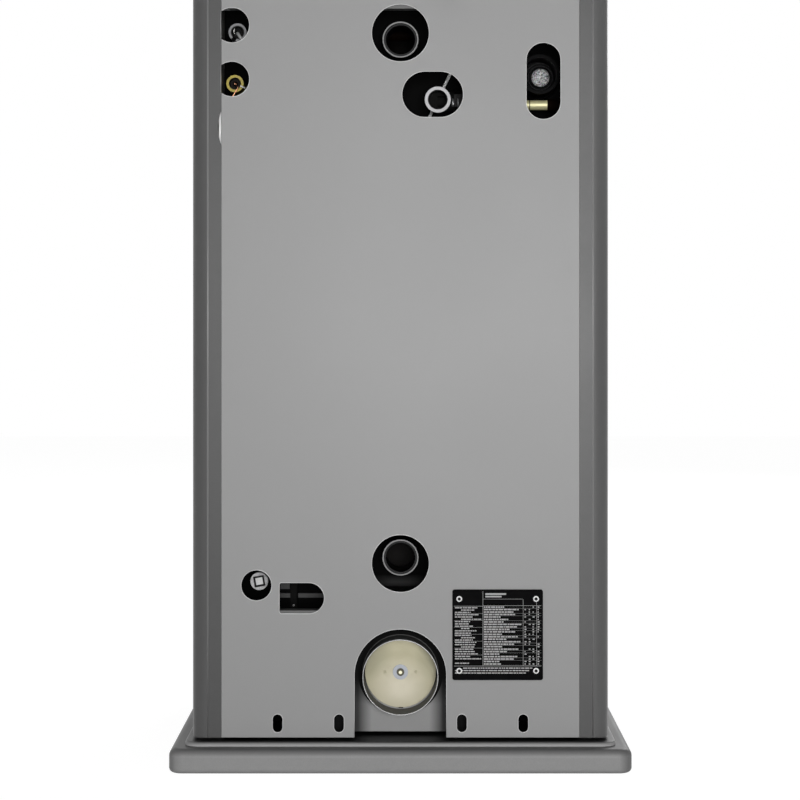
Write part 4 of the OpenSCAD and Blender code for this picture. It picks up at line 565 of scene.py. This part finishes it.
def sensor_materials():
    g = finish("probe_zinc", (0.24, 0.24, 0.25), 0.45, metal=0.2, cloud=0.3, cloud_size=0.006, grain=0.15,
               grain_size=0.0007, depth=0.00002)
    # painted shade: inside the probe socket's bore
    painted_shade_in_bore = g.fall(g.away(PROBE), PROBE_BORE - 0.0002, PROBE_BORE + 0.0010)
    g.lay(painted_shade_in_bore, even(0.008), 0.7, 0.1)
    g = finish("bulb_brass", (0.3, 0.24, 0.03), 0.4, metal=0.35, cloud=0.6, cloud_size=0.007, grain=0.12,
               grain_size=0.0006, depth=0.00002, stain=0.3, stain_color=(0.2, 0.14, 0.06), stain_size=0.01)
    # painted shade: inside the bulb socket's bore, near-black brown
    painted_shade_in_bore = g.fall(g.away(BULB), BULB_BORE - 0.0003, BULB_BORE + 0.0001)
    g.lay(painted_shade_in_bore, (0.02, 0.011, 0.006), 0.7, 0.1)
    g = finish("pocket_steel", (0.02, 0.02, 0.021), 0.5, metal=0.1, cloud=0.3, cloud_size=0.006, grain=0.25,
               grain_size=0.0008, depth=0.00004, shine=0.3)
    brown = g.fall(g.away(BULB), 0.0088, 0.0095)
    g.lay(brown, (0.014, 0.007, 0.004), 0.75, 0.0)
    g = finish("clip_steel", (0.93, 0.93, 0.92), 0.35, metal=0.2, cloud=0.1, cloud_size=0.004, grain=0.08,
               grain_size=0.0004, depth=0.00001)
    for at, radius in ((PROBE, PROBE_BORE), (BULB, BULB_BORE)):
        # painted shade: the clips are made dark where they lie over the bores
        painted_shade_over_bore = g.fall(g.away(at), radius, radius + 0.0005)
        g.lay(painted_shade_over_bore, (0.006, 0.005, 0.004), 0.8, 0.0)
    finish("lead_zinc", even(0.75), 0.4, metal=0.1, cloud=0.3, cloud_size=0.002, grain=0.3,
           grain_size=0.0006)


def air_materials():
    g = finish("spigot_sheet", (0.125, 0.125, 0.122), 0.65, cloud=0.1, cloud_size=0.02, grain=0.1,
               grain_size=0.001, depth=0.00002, shine=0.1)
    # painted shade: the spigot's flange outside the tube is made near-black
    painted_shade_outside = g.rise(g.away(SPIGOT), 0.0500, 0.0506)
    g.lay(painted_shade_outside, even(0.004), 0.8, 0.0)

    g = finish("air_plate", grey(170), 0.46, cloud=0.06, cloud_size=0.05, grain=0.05, dust=0.1, shine=0.04)
    beside = g.beside()
    shaded_sides = g.rise(beside, 0.038, 0.056, 0.92)
    g.lay(shaded_sides, grey(48))
    # painted shade: the plate behind the cover, outside the arch, is made near-black
    painted_shade_outside_arch = g.rise(beside, 0.0615, 0.0650)
    g.lay(painted_shade_outside_arch, even(0.005))
    # painted shade: the plate above the spigot is made near-black
    painted_shade_behind_spigot = g.rise(g.axis("Z"), 0.078, 0.112, 0.985)
    g.lay(painted_shade_behind_spigot, even(0.004))

    g = finish("fastener_zinc", (0.36, 0.38, 0.42), 0.45, metal=0.3, cloud=0.12, cloud_size=0.006, grain=0.15,
               grain_size=0.0007)
    far = g.away(SPIGOT)
    bolt, bolt_end = g.fall(far, 0.0049, 0.0052), g.fall(far, 0.0021, 0.0024)
    g.lay(bolt, (0.045, 0.04, 0.02))
    g.lay(bolt_end, (0.85, 0.82, 0.62))
    rivets = g.rise(far, 0.0125, 0.0135)
    g.lay(rivets, (0.56, 0.53, 0.37), 0.7, 0.0)


def detail_materials():
    """Finishes of the pieces that only this scene adds."""
    finish("cut_edge", even(0.62), 0.35, metal=0.3, cloud=0.12, cloud_size=0.03, grain=0.15,
           grain_size=0.0006, depth=0.00001)
    # painted highlight: lighter than the side covers' paint, besides its real gloss
    finish("seam_paint_with_highlight", grey(112), 0.38, shine=1.0, cloud=0.06, cloud_size=0.05, grain=0.08,
           grain_size=0.0007, depth=0.00001)
    finish("plate_print", even(0.47), 0.5, cloud=0.15, cloud_size=0.008, grain=0.3, grain_size=0.0005,
           depth=0.00001)
    finish("hollow_black", even(0.0025), 0.6, cloud=0.2, cloud_size=0.004, grain=0.2, grain_size=0.0005,
           depth=0.00001, shine=0.08)
    finish("bracket_paint", even(0.055), 0.6, cloud=0.3, cloud_size=0.02, grain=0.2, grain_size=0.001,
           depth=0.00004, stain=0.6, stain_color=even(0.01), stain_size=0.02)
    finish("dial_white", (0.8, 0.79, 0.76), 0.4, cloud=0.04, cloud_size=0.01, grain=0.04, grain_size=0.0004,
           depth=0.00001, stain=0.15, stain_color=(0.5, 0.45, 0.36), stain_size=0.012)
    g = finish("rivet_head", even(0.82), 0.36, metal=0.3, cloud=0.08, cloud_size=0.004, grain=0.08,
               grain_size=0.0005, depth=0.00001)
    for at in PLATE_RIVETS:
        # painted shade: a dark eye in the middle of each rivet
        painted_shade_hole = g.fall(g.away(at), 0.0020, 0.0022)
        g.lay(painted_shade_hole, even(0.003), 0.9, 0.0)


OWN_FINISH = {
    "side_panel_left": "side_paint", "side_panel_right": "side_paint", "base_plinth": "plinth_paint",
    "flow_pipe": "pipe_steel", "return_pipe": "pipe_steel", "discharge_elbow": "elbow_zinc",
    "discharge_nut": "dark_zinc", "discharge_pipe": "dark_zinc", "probe_socket": "probe_zinc",
    "bulb_socket": "bulb_brass", "sensor_pockets": "pocket_steel", "cooling_coil": "old_copper",
    "discharge_coupling": "coupling_brass", "air_spigot": "spigot_sheet", "air_box": "air_plate",
    "flap_fasteners": "fastener_zinc", "data_plate_rivets": "rivet_head", "spare_plug": "dark_socket",
    "spare_socket": "dark_socket", "drain_plug": "drain_zinc", "sensor_clips": "clip_steel",
}


def dress_nodes():
    """Gives every carried-over CAD node the material of its slot, or its own."""
    for name, node in NODES.items():
        node.data.materials.clear()
        node.data.materials.append(MATERIALS[OWN_FINISH.get(name, SLOT_OF[name])])


# Mesh building blocks

BLOCK_FACES = ((0, 1, 2, 3), (4, 5, 6, 7), (0, 1, 5, 4), (1, 2, 6, 5), (2, 3, 7, 6), (3, 0, 4, 7))


class Shape:
    """Vertices and faces that several forms are added to."""

    def __init__(self):
        self.verts = []
        self.faces = []

    def tube(self, start, rings, size, closed):
        """Faces between rings of vertices, each of the given size, that follow one another from start."""
        for i in range(rings if closed else rings - 1):
            a = start + i * size
            b = start + (i + 1) % rings * size
            self.faces += [(a + k, a + (k + 1) % size, b + (k + 1) % size, b + k) for k in range(size)]

    def sweep(self, path, section, closed=False, radii=None):
        """Carries a closed section, a list of (a, b), along a path; radii scale it point by point."""
        path = [Vector(p) for p in path]
        count = len(path)
        start = len(self.verts)
        side = None
        for i, p in enumerate(path):
            before = path[i - 1] if closed or i else path[0]
            after = path[(i + 1) % count] if closed or i < count - 1 else path[-1]
            tangent = (after - before).normalized()
            if side is None:
                side = tangent.cross(Vector((0.37, 0.61, 0.7))).normalized()
            side = (side - tangent * side.dot(tangent)).normalized()
            up = tangent.cross(side)
            scale = radii[i] if radii else 1.0
            self.verts += [p + (side * a + up * b) * scale for a, b in section]
        size = len(section)
        self.tube(start, count, size, closed)
        if not closed:
            self.faces.append(tuple(range(start, start + size)))
            self.faces.append(tuple(range(start + (count - 1) * size, start + count * size)))

    def lathe(self, profile, at, steps, y0):
        """Turns a profile of (radius, y) round the line through (x, z) that runs along Y."""
        x, z = at
        start = len(self.verts)
        size = len(profile)
        for a, b in circle(1.0, steps):
            self.verts += [(x + r * a, y0 + y, z + r * b) for r, y in profile]
        for k in range(steps):
            a = start + k * size
            b = start + (k + 1) % steps * size
            self.faces += [(a + i, a + i + 1, b + i + 1, b + i) for i in range(size - 1)]

    def block(self, corners):
        """A block from four corners of one face and the four that lie opposite."""
        start = len(self.verts)
        self.verts += corners
        self.faces += [tuple(start + i for i in face) for face in BLOCK_FACES]

    def slab(self, x0, x1, z0, z1, y, rise):
        """A thin raised bar on a plane that faces along Y; rise is signed and gives its thickness."""
        self.block([(x, yy, z) for yy in (y, y + rise) for x, z in ((x0, z0), (x1, z0), (x1, z1), (x0, z1))])

    def piece(self, name, material, slot, body="stove", smooth=True):
        """Makes the mesh, which rides on a body and takes the named material as its finish; slot is not used.
        """
        mesh = bpy.data.meshes.new(name)
        mesh.from_pydata([tuple(v) for v in self.verts], [], self.faces)
        build = bmesh.new()
        build.from_mesh(mesh)
        bmesh.ops.recalc_face_normals(build, faces=build.faces)
        for face in build.faces:
            face.smooth = smooth
        build.to_mesh(mesh)
        build.free()
        piece = new_object(name, mesh)
        mesh.materials.append(MATERIALS[material])
        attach(piece, body)
        return piece


def circle(radius, steps=8):
    """Points (a, b) on a closed circle."""
    turns = [2 * math.pi * k / steps for k in range(steps)]
    return [(radius * math.cos(turn), radius * math.sin(turn)) for turn in turns]


def arc(at, r, start, end, steps=40):
    """Points on an arc round a place; angles in degrees from the first axis towards the second."""
    turns = [math.radians(start + (end - start) * k / steps) for k in range(steps + 1)]
    return [(at[0] + r * math.cos(turn), at[1] + r * math.sin(turn)) for turn in turns]


def ring(at, r, steps=96):
    return arc(at, r, 0, 360, steps)[:-1]


def stadium(x, z, w, h):
    r = min(w, h) / 2
    if w > h:
        run = (w - h) / 2
        return arc((x + run, z), r, -90, 90) + arc((x - run, z), r, 90, 270)
    run = (h - w) / 2
    return arc((x, z + run), r, 0, 180) + arc((x, z - run), r, 180, 360)


def helix(at, r, y0, y1, turns, steps=36):
    total = int(turns * steps)
    return [(at[0] + r * math.cos(2 * math.pi * k / steps), y0 + (y1 - y0) * k / total,
             at[1] + r * math.sin(2 * math.pi * k / steps)) for k in range(total + 1)]


def on_plane(y, points):
    """Points (x, z) as places on a plane that faces along Y."""
    return [(x, y, z) for x, z in points]


# Rear cover: rolled edges, seams and the data plate

def opening_rims():
    """The cut edges of the openings in the rear cover."""
    loops = [
        ring(FLOW, 0.0375), ring(RETURN, 0.0375),
        stadium(-0.042, 0.8795, 0.080, 0.060),     # discharge elbow and chain
        stadium(-0.1864, 0.897, 0.045, 0.100),     # spare socket
        ring((0.1875, 0.240), 0.020, 64),          # drain
        ring((-0.05902, 1.04724), 0.028),          # draught regulator
        ring((0.090, 1.0517), 0.024),              # cooling coil
    ]
    loops += [stadium(x, 0.0604, 0.0135, 0.024) for x in (-0.080, -0.160, 0.080, 0.160)]
    middle, z, half, big, small = 0.12845, 0.2233, 0.0587 / 2, 0.02025, 0.003
    left, right, lift = middle - half + big, middle + half - small, big - small
    cable_opening = arc((left, z), big, 90, 270)
    cable_opening += arc((right, z - lift), small, -90, 0, 8) + arc((right, z + lift), small, 0, 90, 8)
    loops.append(cable_opening)
    arch = [(0.06, 0.0422), (0.06, 0.08)] + arc((0, 0.123), 0.06, 0, 180, 60) + [(-0.06, 0.08), (-0.06, 0.0422)]
    cut = math.degrees(math.acos((SEAM_X - SENSOR_OPENINGS[0][0]) / SENSOR_OPENING_R))
    lines = [arch] + [arc(at, SENSOR_OPENING_R, cut, 360 - cut, 60) for at in SENSOR_OPENINGS]
    rims = Shape()
    edge = circle(0.00045, 6)
    for points, closed in [(loop, True) for loop in loops] + [(line, False) for line in lines]:
        rims.sweep(on_plane(COVER_Y - 0.0001, points), edge, closed)
    rims.piece("opening_rims", "cut_edge", "rear_cover")


def cover_seams():
    """The folded edges of the side covers: beside the half-round openings and along each corner bend. Their
    glossy paint is lighter than the covers', a painted highlight on top of the real one.
    """
    seams = Shape()
    for _, z in SENSOR_OPENINGS:
        edge = [(0.2340, z - 0.0195), (0.2340, z + 0.0195)]
        seams.sweep(on_plane(COVER_Y - 0.0006, edge), circle(0.0008))
    for x in (-BEND_X, BEND_X):
        seams.sweep(on_plane(COVER_Y - 0.0010, [(x, z) for z in COVER_Z]), circle(0.0015, 10))
    seams.piece("cover_seams", "seam_paint_with_highlight", "side_cover")
    fold = Shape()
    fold.slab(0.2334, 0.2366, 0.8120, 0.8570, COVER_Y - 0.0014, 0.0006)
    fold.piece("notch_fold", "clip_steel", "side_cover")


def data_plate_print():
    """A blank ruled form of rules and plain broken bars, with no lettering; in millimetres."""
    random.seed(4)
    left, top, y = PLATE[0] + PLATE_HALF, PLATE[1] + PLATE_HALF, COVER_Y + 0.00121
    first, column, last = 2.4, 39.8, 115.8
    rules, bars = Shape(), Shape()

    def strip(shape, rise, u0, v0, u1, v1):
        """A raised strip; u runs to the right as seen, v down, both from the plate's upper corner."""
        shape.slab(left - u1 / 1000, left - u0 / 1000, top - v1 / 1000, top - v0 / 1000, y, rise)

    def rule(*sides):
        strip(rules, 0.00006, *sides)

    def bar(*sides):
        strip(bars, 0.00005, *sides)

    def words(u0, u1, v, tall):
        """A plain broken bar."""
        u = u0
        while u < u1 - 1.0:
            w = min(random.uniform(1.4, 6.0), u1 - u)
            bar(u, v, u + w, v + tall)
            u += w + random.uniform(0.5, 1.0)

    rule(39.6, 2.4, 40.0, 99.5)
    for u in (92.0, 109.5):
        rule(u, 12.5, u + 0.35, 99.5)
    rule(39.6, 12.3, 92.0, 12.6)
    rule(39.6, 20.8, last, 21.2)
    rule(2.2, 21.5, column, 21.9)
    for k in range(24):
        v = 22.0 + 3.22 * k
        if k % 3 != 1:
            rule(column, v + 2.45, last, v + 2.6)
        words(41.0, random.uniform(60.0, 91.0), v, 1.75)
        for u in (94.0, 99.5, 104.5, 111.0):
            if random.random() < 0.7:
                bar(u, v + 0.1, u + random.uniform(1.2, 2.6), v + 1.6)
    for k in range(21):
        v = 23.0 + 3.0 * k
        words(3.4 + 8.0 * (k % 4 == 1), random.uniform(22.0, 38.5), v, 1.5)
        if k % 3 == 2:
            rule(first, v + 2.1, 39.6, v + 2.3)
    for v in (86.4, 89.4, 95.2):
        words(3.4, random.uniform(22.0, 38.0), v, 1.5)
    rule(2.2, 99.4, last, 99.8)
    words(14.0, 104.0, 101.6, 1.4)
    for v in (104.8, 108.0):
        words(3.6, random.uniform(92.0, 112.0), v, 1.4)
    bar(43.0, 4.8, 70.0, 7.0)
    bar(43.0, 8.2, 64.0, 10.2)
    rules.piece("plate_rules", "plate_print", "plate_black", smooth=False)
    bars.piece("plate_bars", "plate_print", "plate_black", smooth=False)


# Water side: welds, threads and worn faces

def weld_bead(shape, at, r):
    """A hand-laid weld bead round a pipe, with its overlapping ripples."""
    steps = int(2 * math.pi * r / 0.0009)
    path = [(at[0] + a, BOILER_Y + 0.0008, at[1] + b) for a, b in circle(r, steps)]
    radii = [1 + 0.16 * ((k % 5) / 5.0) + 0.05 * math.sin(k * 0.37) for k in range(steps)]
    shape.sweep(path, circle(0.0022), closed=True, radii=radii)


def water_details():
    welds = Shape()
    for at, r in ((FLOW, 0.0245), (RETURN, 0.0245), (SPARE_SOCKET, 0.027), (PROBE, 0.0125), (BULB, 0.012),
                  (DRAIN, 0.0122)):
        weld_bead(welds, at, r)
    welds.piece("pipe_welds", "weld", "bare_plate")

    threads = Shape()
    tooth = [(0.0005, 0.0), (0.00015, 0.0008), (-0.0005, 0.0), (0.00015, -0.0008)]
    for at in (FLOW, RETURN):
        threads.sweep(helix(at, 0.01995, PIPE_Y - 0.022, PIPE_Y - 0.0012, 9), tooth)
    small_tooth = [(a * 0.8, b * 0.8) for a, b in tooth]
    threads.sweep(helix(ELBOW, ELBOW_BORE - 0.00035, 0.203, 0.2192, 8), small_tooth)
    threads.piece("pipe_threads", "thread_steel", "dark_pipe")

    cap = Shape()
    cap.lathe([(0.0, 0.0016), (0.0095, 0.0015), (0.0118, 0.0009), (0.0123, -0.0004), (0.0121, -0.003)],
              SPARE_PLUG, 56, 0.1745)
    cap.piece("spare_plug_cap", "galvanised", "galvanised")
    glints = Shape()
    for y, r, wire in ((0.1705, 0.0163, 0.0006), (0.1640, 0.0205, 0.0005)):
        glints.sweep(on_plane(y, ring(SPARE_PLUG, r)), circle(wire), closed=True)
    glints.piece("spare_plug_rings", "thread_steel", "dark_pipe")

    # painted glints: thin bright zinc arcs stand in for glints on the dark nut
    glint_arcs = Shape()
    for x, r in ((-0.0694, 0.0134), (-0.0712, 0.0134), (-0.0768, 0.0150)):
        glint_arcs.sweep([(x, y, z) for y, z in arc((0.192, 0.8765), r, -26, 26, 13)], circle(0.00042))
    glint_arcs.piece("nut_glint_arcs", "zinc", "zinc")


def sensor_details():
    """The probe's bulb and lead in their pocket, a painted shadow band across its ring, and the hook of its
    spring.
    """
    bulb = Shape()
    bulb.lathe([(0.0, 0.0042), (0.0018, 0.0037), (0.0033, 0.0022), (0.0041, 0.0), (0.0041, -0.006)],
               (0.2168, 0.9704), 28, 0.2105)
    bulb.piece("probe_bulb", "pocket_steel", "dark_pipe")
    lead = Shape()
    path = [(0.2178, 0.2112, 0.9688), (0.2166, 0.2160, 0.9668), (0.2140, 0.2190, 0.9628),
            (0.2112, 0.2200, 0.9585), (0.2092, 0.2195, 0.9555), (0.2080, 0.2150, 0.9530),
            (0.2076, 0.2050, 0.9505)]
    lead.sweep(path, circle(0.0021, 12))
    lead.piece("probe_lead", "lead_zinc", "spring_steel")
    # painted shadow: a near-black band where the ring is broken by shadow beside the lead
    band = Shape()
    flat = [(a, b * 0.55) for a, b in circle(0.0026, 10)]
    band.sweep(on_plane(0.2172, arc(PROBE, 0.0103, -78, -50, 8)), flat)
    band.piece("probe_shadow_band", "hollow_black", "dark_pipe")
    hook = Shape()
    hook.sweep(on_plane(0.2155, arc((0.2176, 0.9698), 0.0046, -40, 50, 12)), circle(0.0006))
    hook.piece("probe_hook", "spring_steel", "spring_steel")


def screw(shape, x, y, z, r, facing):
    """A domed socket screw head on a face; facing is 1 for +Y and -1 for -Y."""
    socket, rim = 0.42, 0.46
    profile = [(0.0, -0.0002), (r * socket, -0.0002), (r * rim, r * 0.5), (r * 0.62, r * 0.52),
               (r * 0.85, r * 0.38), (r * 0.98, r * 0.12), (r, -0.0002)]
    shape.lathe([(radius, rise * facing) for radius, rise in profile], (x, z), 28, y)


def foot_details():
    """Flat bar, upright and screw at the boiler's lower rear edge, seen through the cable opening."""
    y = BOILER_Y + 0.0003
    bars = Shape()
    for x0, x1 in ((0.1040, 0.1395), (0.1500, 0.1650)):
        bars.slab(x0, x1, 0.2070, 0.2128, y, 0.005)
    bars.slab(0.1512, 0.1640, 0.2185, 0.2275, y, 0.004)
    bars.piece("boiler_seam_bars", "bracket_paint", "jacket_paint", smooth=False)
    upright = Shape()
    upright.slab(0.1410, 0.1500, 0.1920, 0.2500, y, 0.009)
    upright.piece("boiler_foot_upright", "hollow_black", "jacket_paint", smooth=False)
    head = Shape()
    screw(head, 0.1455, y + 0.009, 0.1972, 0.0014, 1)
    head.piece("boiler_foot_screw", "clip_steel", "zinc")


def round_rectangle(x, z0, z1, r, y):
    """A rounded rectangle of half width x between two heights, seen along Y."""
    corners = ((x - r, z1 - r, 0), (-x + r, z1 - r, 90), (-x + r, z0 + r, 180), (x - r, z0 + r, 270))
    return [point for cx, cz, a in corners for point in on_plane(y, arc((cx, cz), r, a, a + 90, 8))]


def resample(path, pitch):
    """Evenly spaced points on a closed path."""
    path = [Vector(p) for p in path]
    out, carry = [], 0.0
    for a, b in zip(path, path[1:] + path[:1]):
        length = (b - a).length
        while carry < length:
            out.append(a + (b - a) * (carry / length))
            carry += pitch
        carry -= length
    return out


def gasket():
    """The braided glass rope in the door's groove."""
    low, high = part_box("door_gasket")
    inset, corner, pitch = 0.004, 0.007, 0.0012
    wide, deep, steps = 0.0039, 0.0032, 12
    middle = (low.y + high.y) / 2
    path = resample(round_rectangle(high.x - inset, low.z + inset, high.z - inset, corner, middle), pitch)
    rope = Shape()
    count = len(path)
    for i, p in enumerate(path):
        tangent = (path[(i + 1) % count] - path[i - 1]).normalized()
        out = tangent.cross(Vector((0, 1, 0))).normalized()
        for k in range(steps):
            turn = 2 * math.pi * k / steps
            one, other = (0.5 + 0.5 * math.sin(3 * turn + lay) for lay in (i * 0.9, -i * 0.9))
            braid = 1 - 0.07 * one - 0.05 * other
            across = out * (wide * braid * math.cos(turn))
            rope.verts.append(p + across + Vector((0, deep * braid * math.sin(turn), 0)))
    rope.tube(0, count, steps, True)
    piece = rope.piece("door_gasket_rope", "gasket_rope", "gasket_rope", "fire_door")
    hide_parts("door_gasket")


def wool_slab(slabs, s, inner, outer, low, high):
    """One slab: a flat inner face, an uneven outer face with soft edges, and the rim between them."""
    ny, nz = 14, 34
    soft_edge, lump_depth = 0.004, 0.0012
    row = nz + 1
    first = len(slabs.verts)
    second = first + (ny + 1) * row
    for start, base in ((first, inner), (second, outer)):
        for i in range(ny + 1):
            for k in range(row):
                u, v = i / ny, k / nz
                edge = min(u, 1 - u, v * 2.4, (1 - v) * 2.4)
                round_off = soft_edge * max(0.0, 1 - edge / 0.06) ** 2
                lump = lump_depth * (0.5 + 0.5 * noise.noise(Vector((s * 7, u * 9, v * 22))))
                x = base - s * (round_off + lump) if start == second else base
                slabs.verts.append((x, low.y + (high.y - low.y) * u, low.z + (high.z - low.z) * v))
        corners = [start + i * row + k for i in range(ny) for k in range(nz)]
        slabs.faces += [(a, a + 1, a + row + 1, a + row) for a in corners]
    rim = [i * row for i in range(ny + 1)] + [ny * row + k for k in range(1, row)]
    rim += [i * row + nz for i in range(ny - 1, -1, -1)] + list(range(nz - 1, 0, -1))
    slabs.faces += [(first + a, first + b, second + b, second + a) for a, b in zip(rim, rim[1:] + rim[:1])]


def insulation():
    """Mineral wool slabs at both sides of the boiler, uneven and held by round clips."""
    low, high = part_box("insulation_pads")
    clip_places = [(y, z) for y in (-0.12, 0.06) for z in (0.35, 0.62, 0.9)]
    clip_profile, clip_steps = ((0.0, 0.0006), (0.009, 0.0008), (0.012, 0.0022)), 20
    slabs, clips = Shape(), Shape()
    for s in (-1, 1):
        outer = s * high.x
        wool_slab(slabs, s, s * 0.2402, outer, low, high)
        for y, z in clip_places:
            start = len(clips.verts)
            for r, below in clip_profile:
                clips.verts += [(outer - s * below, y + a, z + b) for a, b in circle(r, clip_steps)]
            clips.tube(start, len(clip_profile), clip_steps, False)
    piece = slabs.piece("insulation_slabs", "mineral_wool", "mineral_wool")
    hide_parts("insulation_pads")
    clips.piece("insulation_clips", "zinc", "zinc")


# Air side: link chains and small parts of the flap

def links(shape, start, end, pitch=0.0039, length=0.0073, width=0.0048, wire=0.001):
    """A twisted link chain between two points; each link is rolled by 38 degrees, to and fro."""
    start, end = Vector(start), Vector(end)
    axis = (end - start).normalized()
    side = axis.cross(Vector((0, 1, 0))).normalized()
    up = axis.cross(side)
    run, half = (length - width) / 2, width / 2 - wire
    for i in range(int(((end - start).length - length) / pitch) + 1):
        centre = start + axis * (length / 2 + i * pitch)
        roll = math.radians(38 if i % 2 else -38)
        across = side * math.cos(roll) + up * math.sin(roll)
        loop = []
        for a, b in circle(1.0, 14):
            along = half * a + (run if a > 0 else -run)
            loop.append(centre + axis * along + across * (half * b))
        shape.sweep(loop, circle(wire, 6), closed=True)


def chain_stop(shape, at, axis):
    """The crimped end stop of a chain."""
    at, axis = Vector(at), Vector(axis)
    waist = ((0.0, 0.8), (0.08, 1.0), (0.3, 1.0), (0.5, 0.86), (0.7, 1.0), (0.92, 1.0), (1.0, 0.8))
    path = [at + axis * (STOP_HEIGHT * t) for t, _ in waist]
    shape.sweep(path, circle(STOP_RADIUS, 16), radii=[radius for _, radius in waist])


def chains():
    """The upper stretch up the slope to the lever, and the lower one straight down to the flap."""
    x, y, turn_z = CHAIN_TURN
    axis = Vector((-math.sin(CHAIN_SLOPE), 0, math.cos(CHAIN_SLOPE)))
    turn = Vector(CHAIN_TURN)
    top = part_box("chain_upper")[1].z - STOP_RADIUS * math.sin(CHAIN_SLOPE)
    grip = (top - turn_z) / math.cos(CHAIN_SLOPE) - STOP_HEIGHT
    upper = Shape()
    links(upper, turn + axis * 0.007, turn + axis * grip)
    chain_stop(upper, turn + axis * grip, axis)
    low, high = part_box("chain_lower")
    foot = low.z + STOP_HEIGHT
    lower = Shape()
    links(lower, (x, y, high.z - 0.0005), (x, y, foot))
    chain_stop(lower, (x, y, foot), (0, 0, -1))
    for shape, node in ((upper, "chain_upper"), (lower, "chain_lower")):
        piece = shape.piece(node + "_links", "bead_chain", "bead_chain", node)
        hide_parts(node)


def spigot_details():
    rim = Shape()
    rim.sweep(on_plane(COVER_Y - 0.0006, ring(SPIGOT, 0.04885)), circle(0.00072), closed=True)
    rim.piece("spigot_rim", "cut_edge", "spigot_steel")
    stops, y = Shape(), 0.2411
    stops.slab(-0.0006, 0.0008, 0.1625, 0.1668, y, 0.0009)
    stops.slab(-0.0035, 0.0025, 0.0733, 0.0741, y, 0.0016)
    stops.piece("spigot_stops", "hollow_black", "spigot_steel")


# Front: dial and screws

def dial_directions(count):
    """Outward and sideways directions of evenly spaced marks on the dial, with their number."""
    for k in range(count):
        turn = math.radians(DIAL_FIRST + DIAL_SPAN / (count - 1) * k)
        yield k, Vector((math.sin(turn), 0, math.cos(turn))), Vector((math.cos(turn), 0, -math.sin(turn)))


def dial():
    """The thermometer's face with plain marks and numbers."""
    face = Shape()
    face.lathe([(0.0, 0.0), (0.012, 0.0), (0.0265, 0.0), (0.0275, 0.0005)], (0, DIAL_Z), 64, DIAL_Y)
    face.piece("dial_face", "dial_white", "plate_black")
    marks = Shape()
    for k, out, side in dial_directions(DIAL_MARKS):
        inner, half = (0.0212, 0.0004) if k % 10 == 0 else (0.0228, 0.00018)
        sides = ((inner, -half), (0.0248, -half), (0.0248, half), (inner, half))
        marks.block([Vector((0, y, DIAL_Z)) + out * r + side * w
                     for y in (DIAL_Y - 0.00002, DIAL_Y - 0.0001) for r, w in sides])
    marks.piece("dial_marks", "hollow_black", "plate_black", smooth=False)
    for k, out, _ in dial_directions(DIAL_NUMBERS):
        number = str(DIAL_STEP * k)
        curve = bpy.data.curves.new("number_" + number, "FONT")
        curve.body = number
        curve.size = 0.0062
        curve.align_x = "CENTER"
        curve.align_y = "CENTER"
        curve.extrude = 0.00004
        text = new_object("dial_number_" + number, curve)
        text.location = Vector((0, DIAL_Y - 0.00006, DIAL_Z)) + out * 0.0168
        text.rotation_euler = (math.pi / 2, 0, 0)
        curve.materials.append(MATERIALS["hollow_black"])
        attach(text, "stove")


def front_screws():
    heads = Shape()
    for x in (-0.222, 0.222):
        for z in (0.075, 0.36, 0.62, 0.88, 1.12):
            screw(heads, x, FRONT_Y, z, 0.0042, -1)
    heads.piece("front_screws", "black_steel", "black_steel")


for step in (make_world, make_camera, make_floor, make_lamps,
             paint_materials, cast_materials, metal_materials, cover_paint, plinth_paint, pipe_materials,
             drain_face, discharge_materials, sensor_materials, air_materials, detail_materials, yellow_disc,
             soft_materials, door_glass, dress_nodes,
             opening_rims, cover_seams, data_plate_print, water_details, sensor_details, foot_details,
             gasket, insulation, chains, spigot_details, dial, front_screws):
    step()
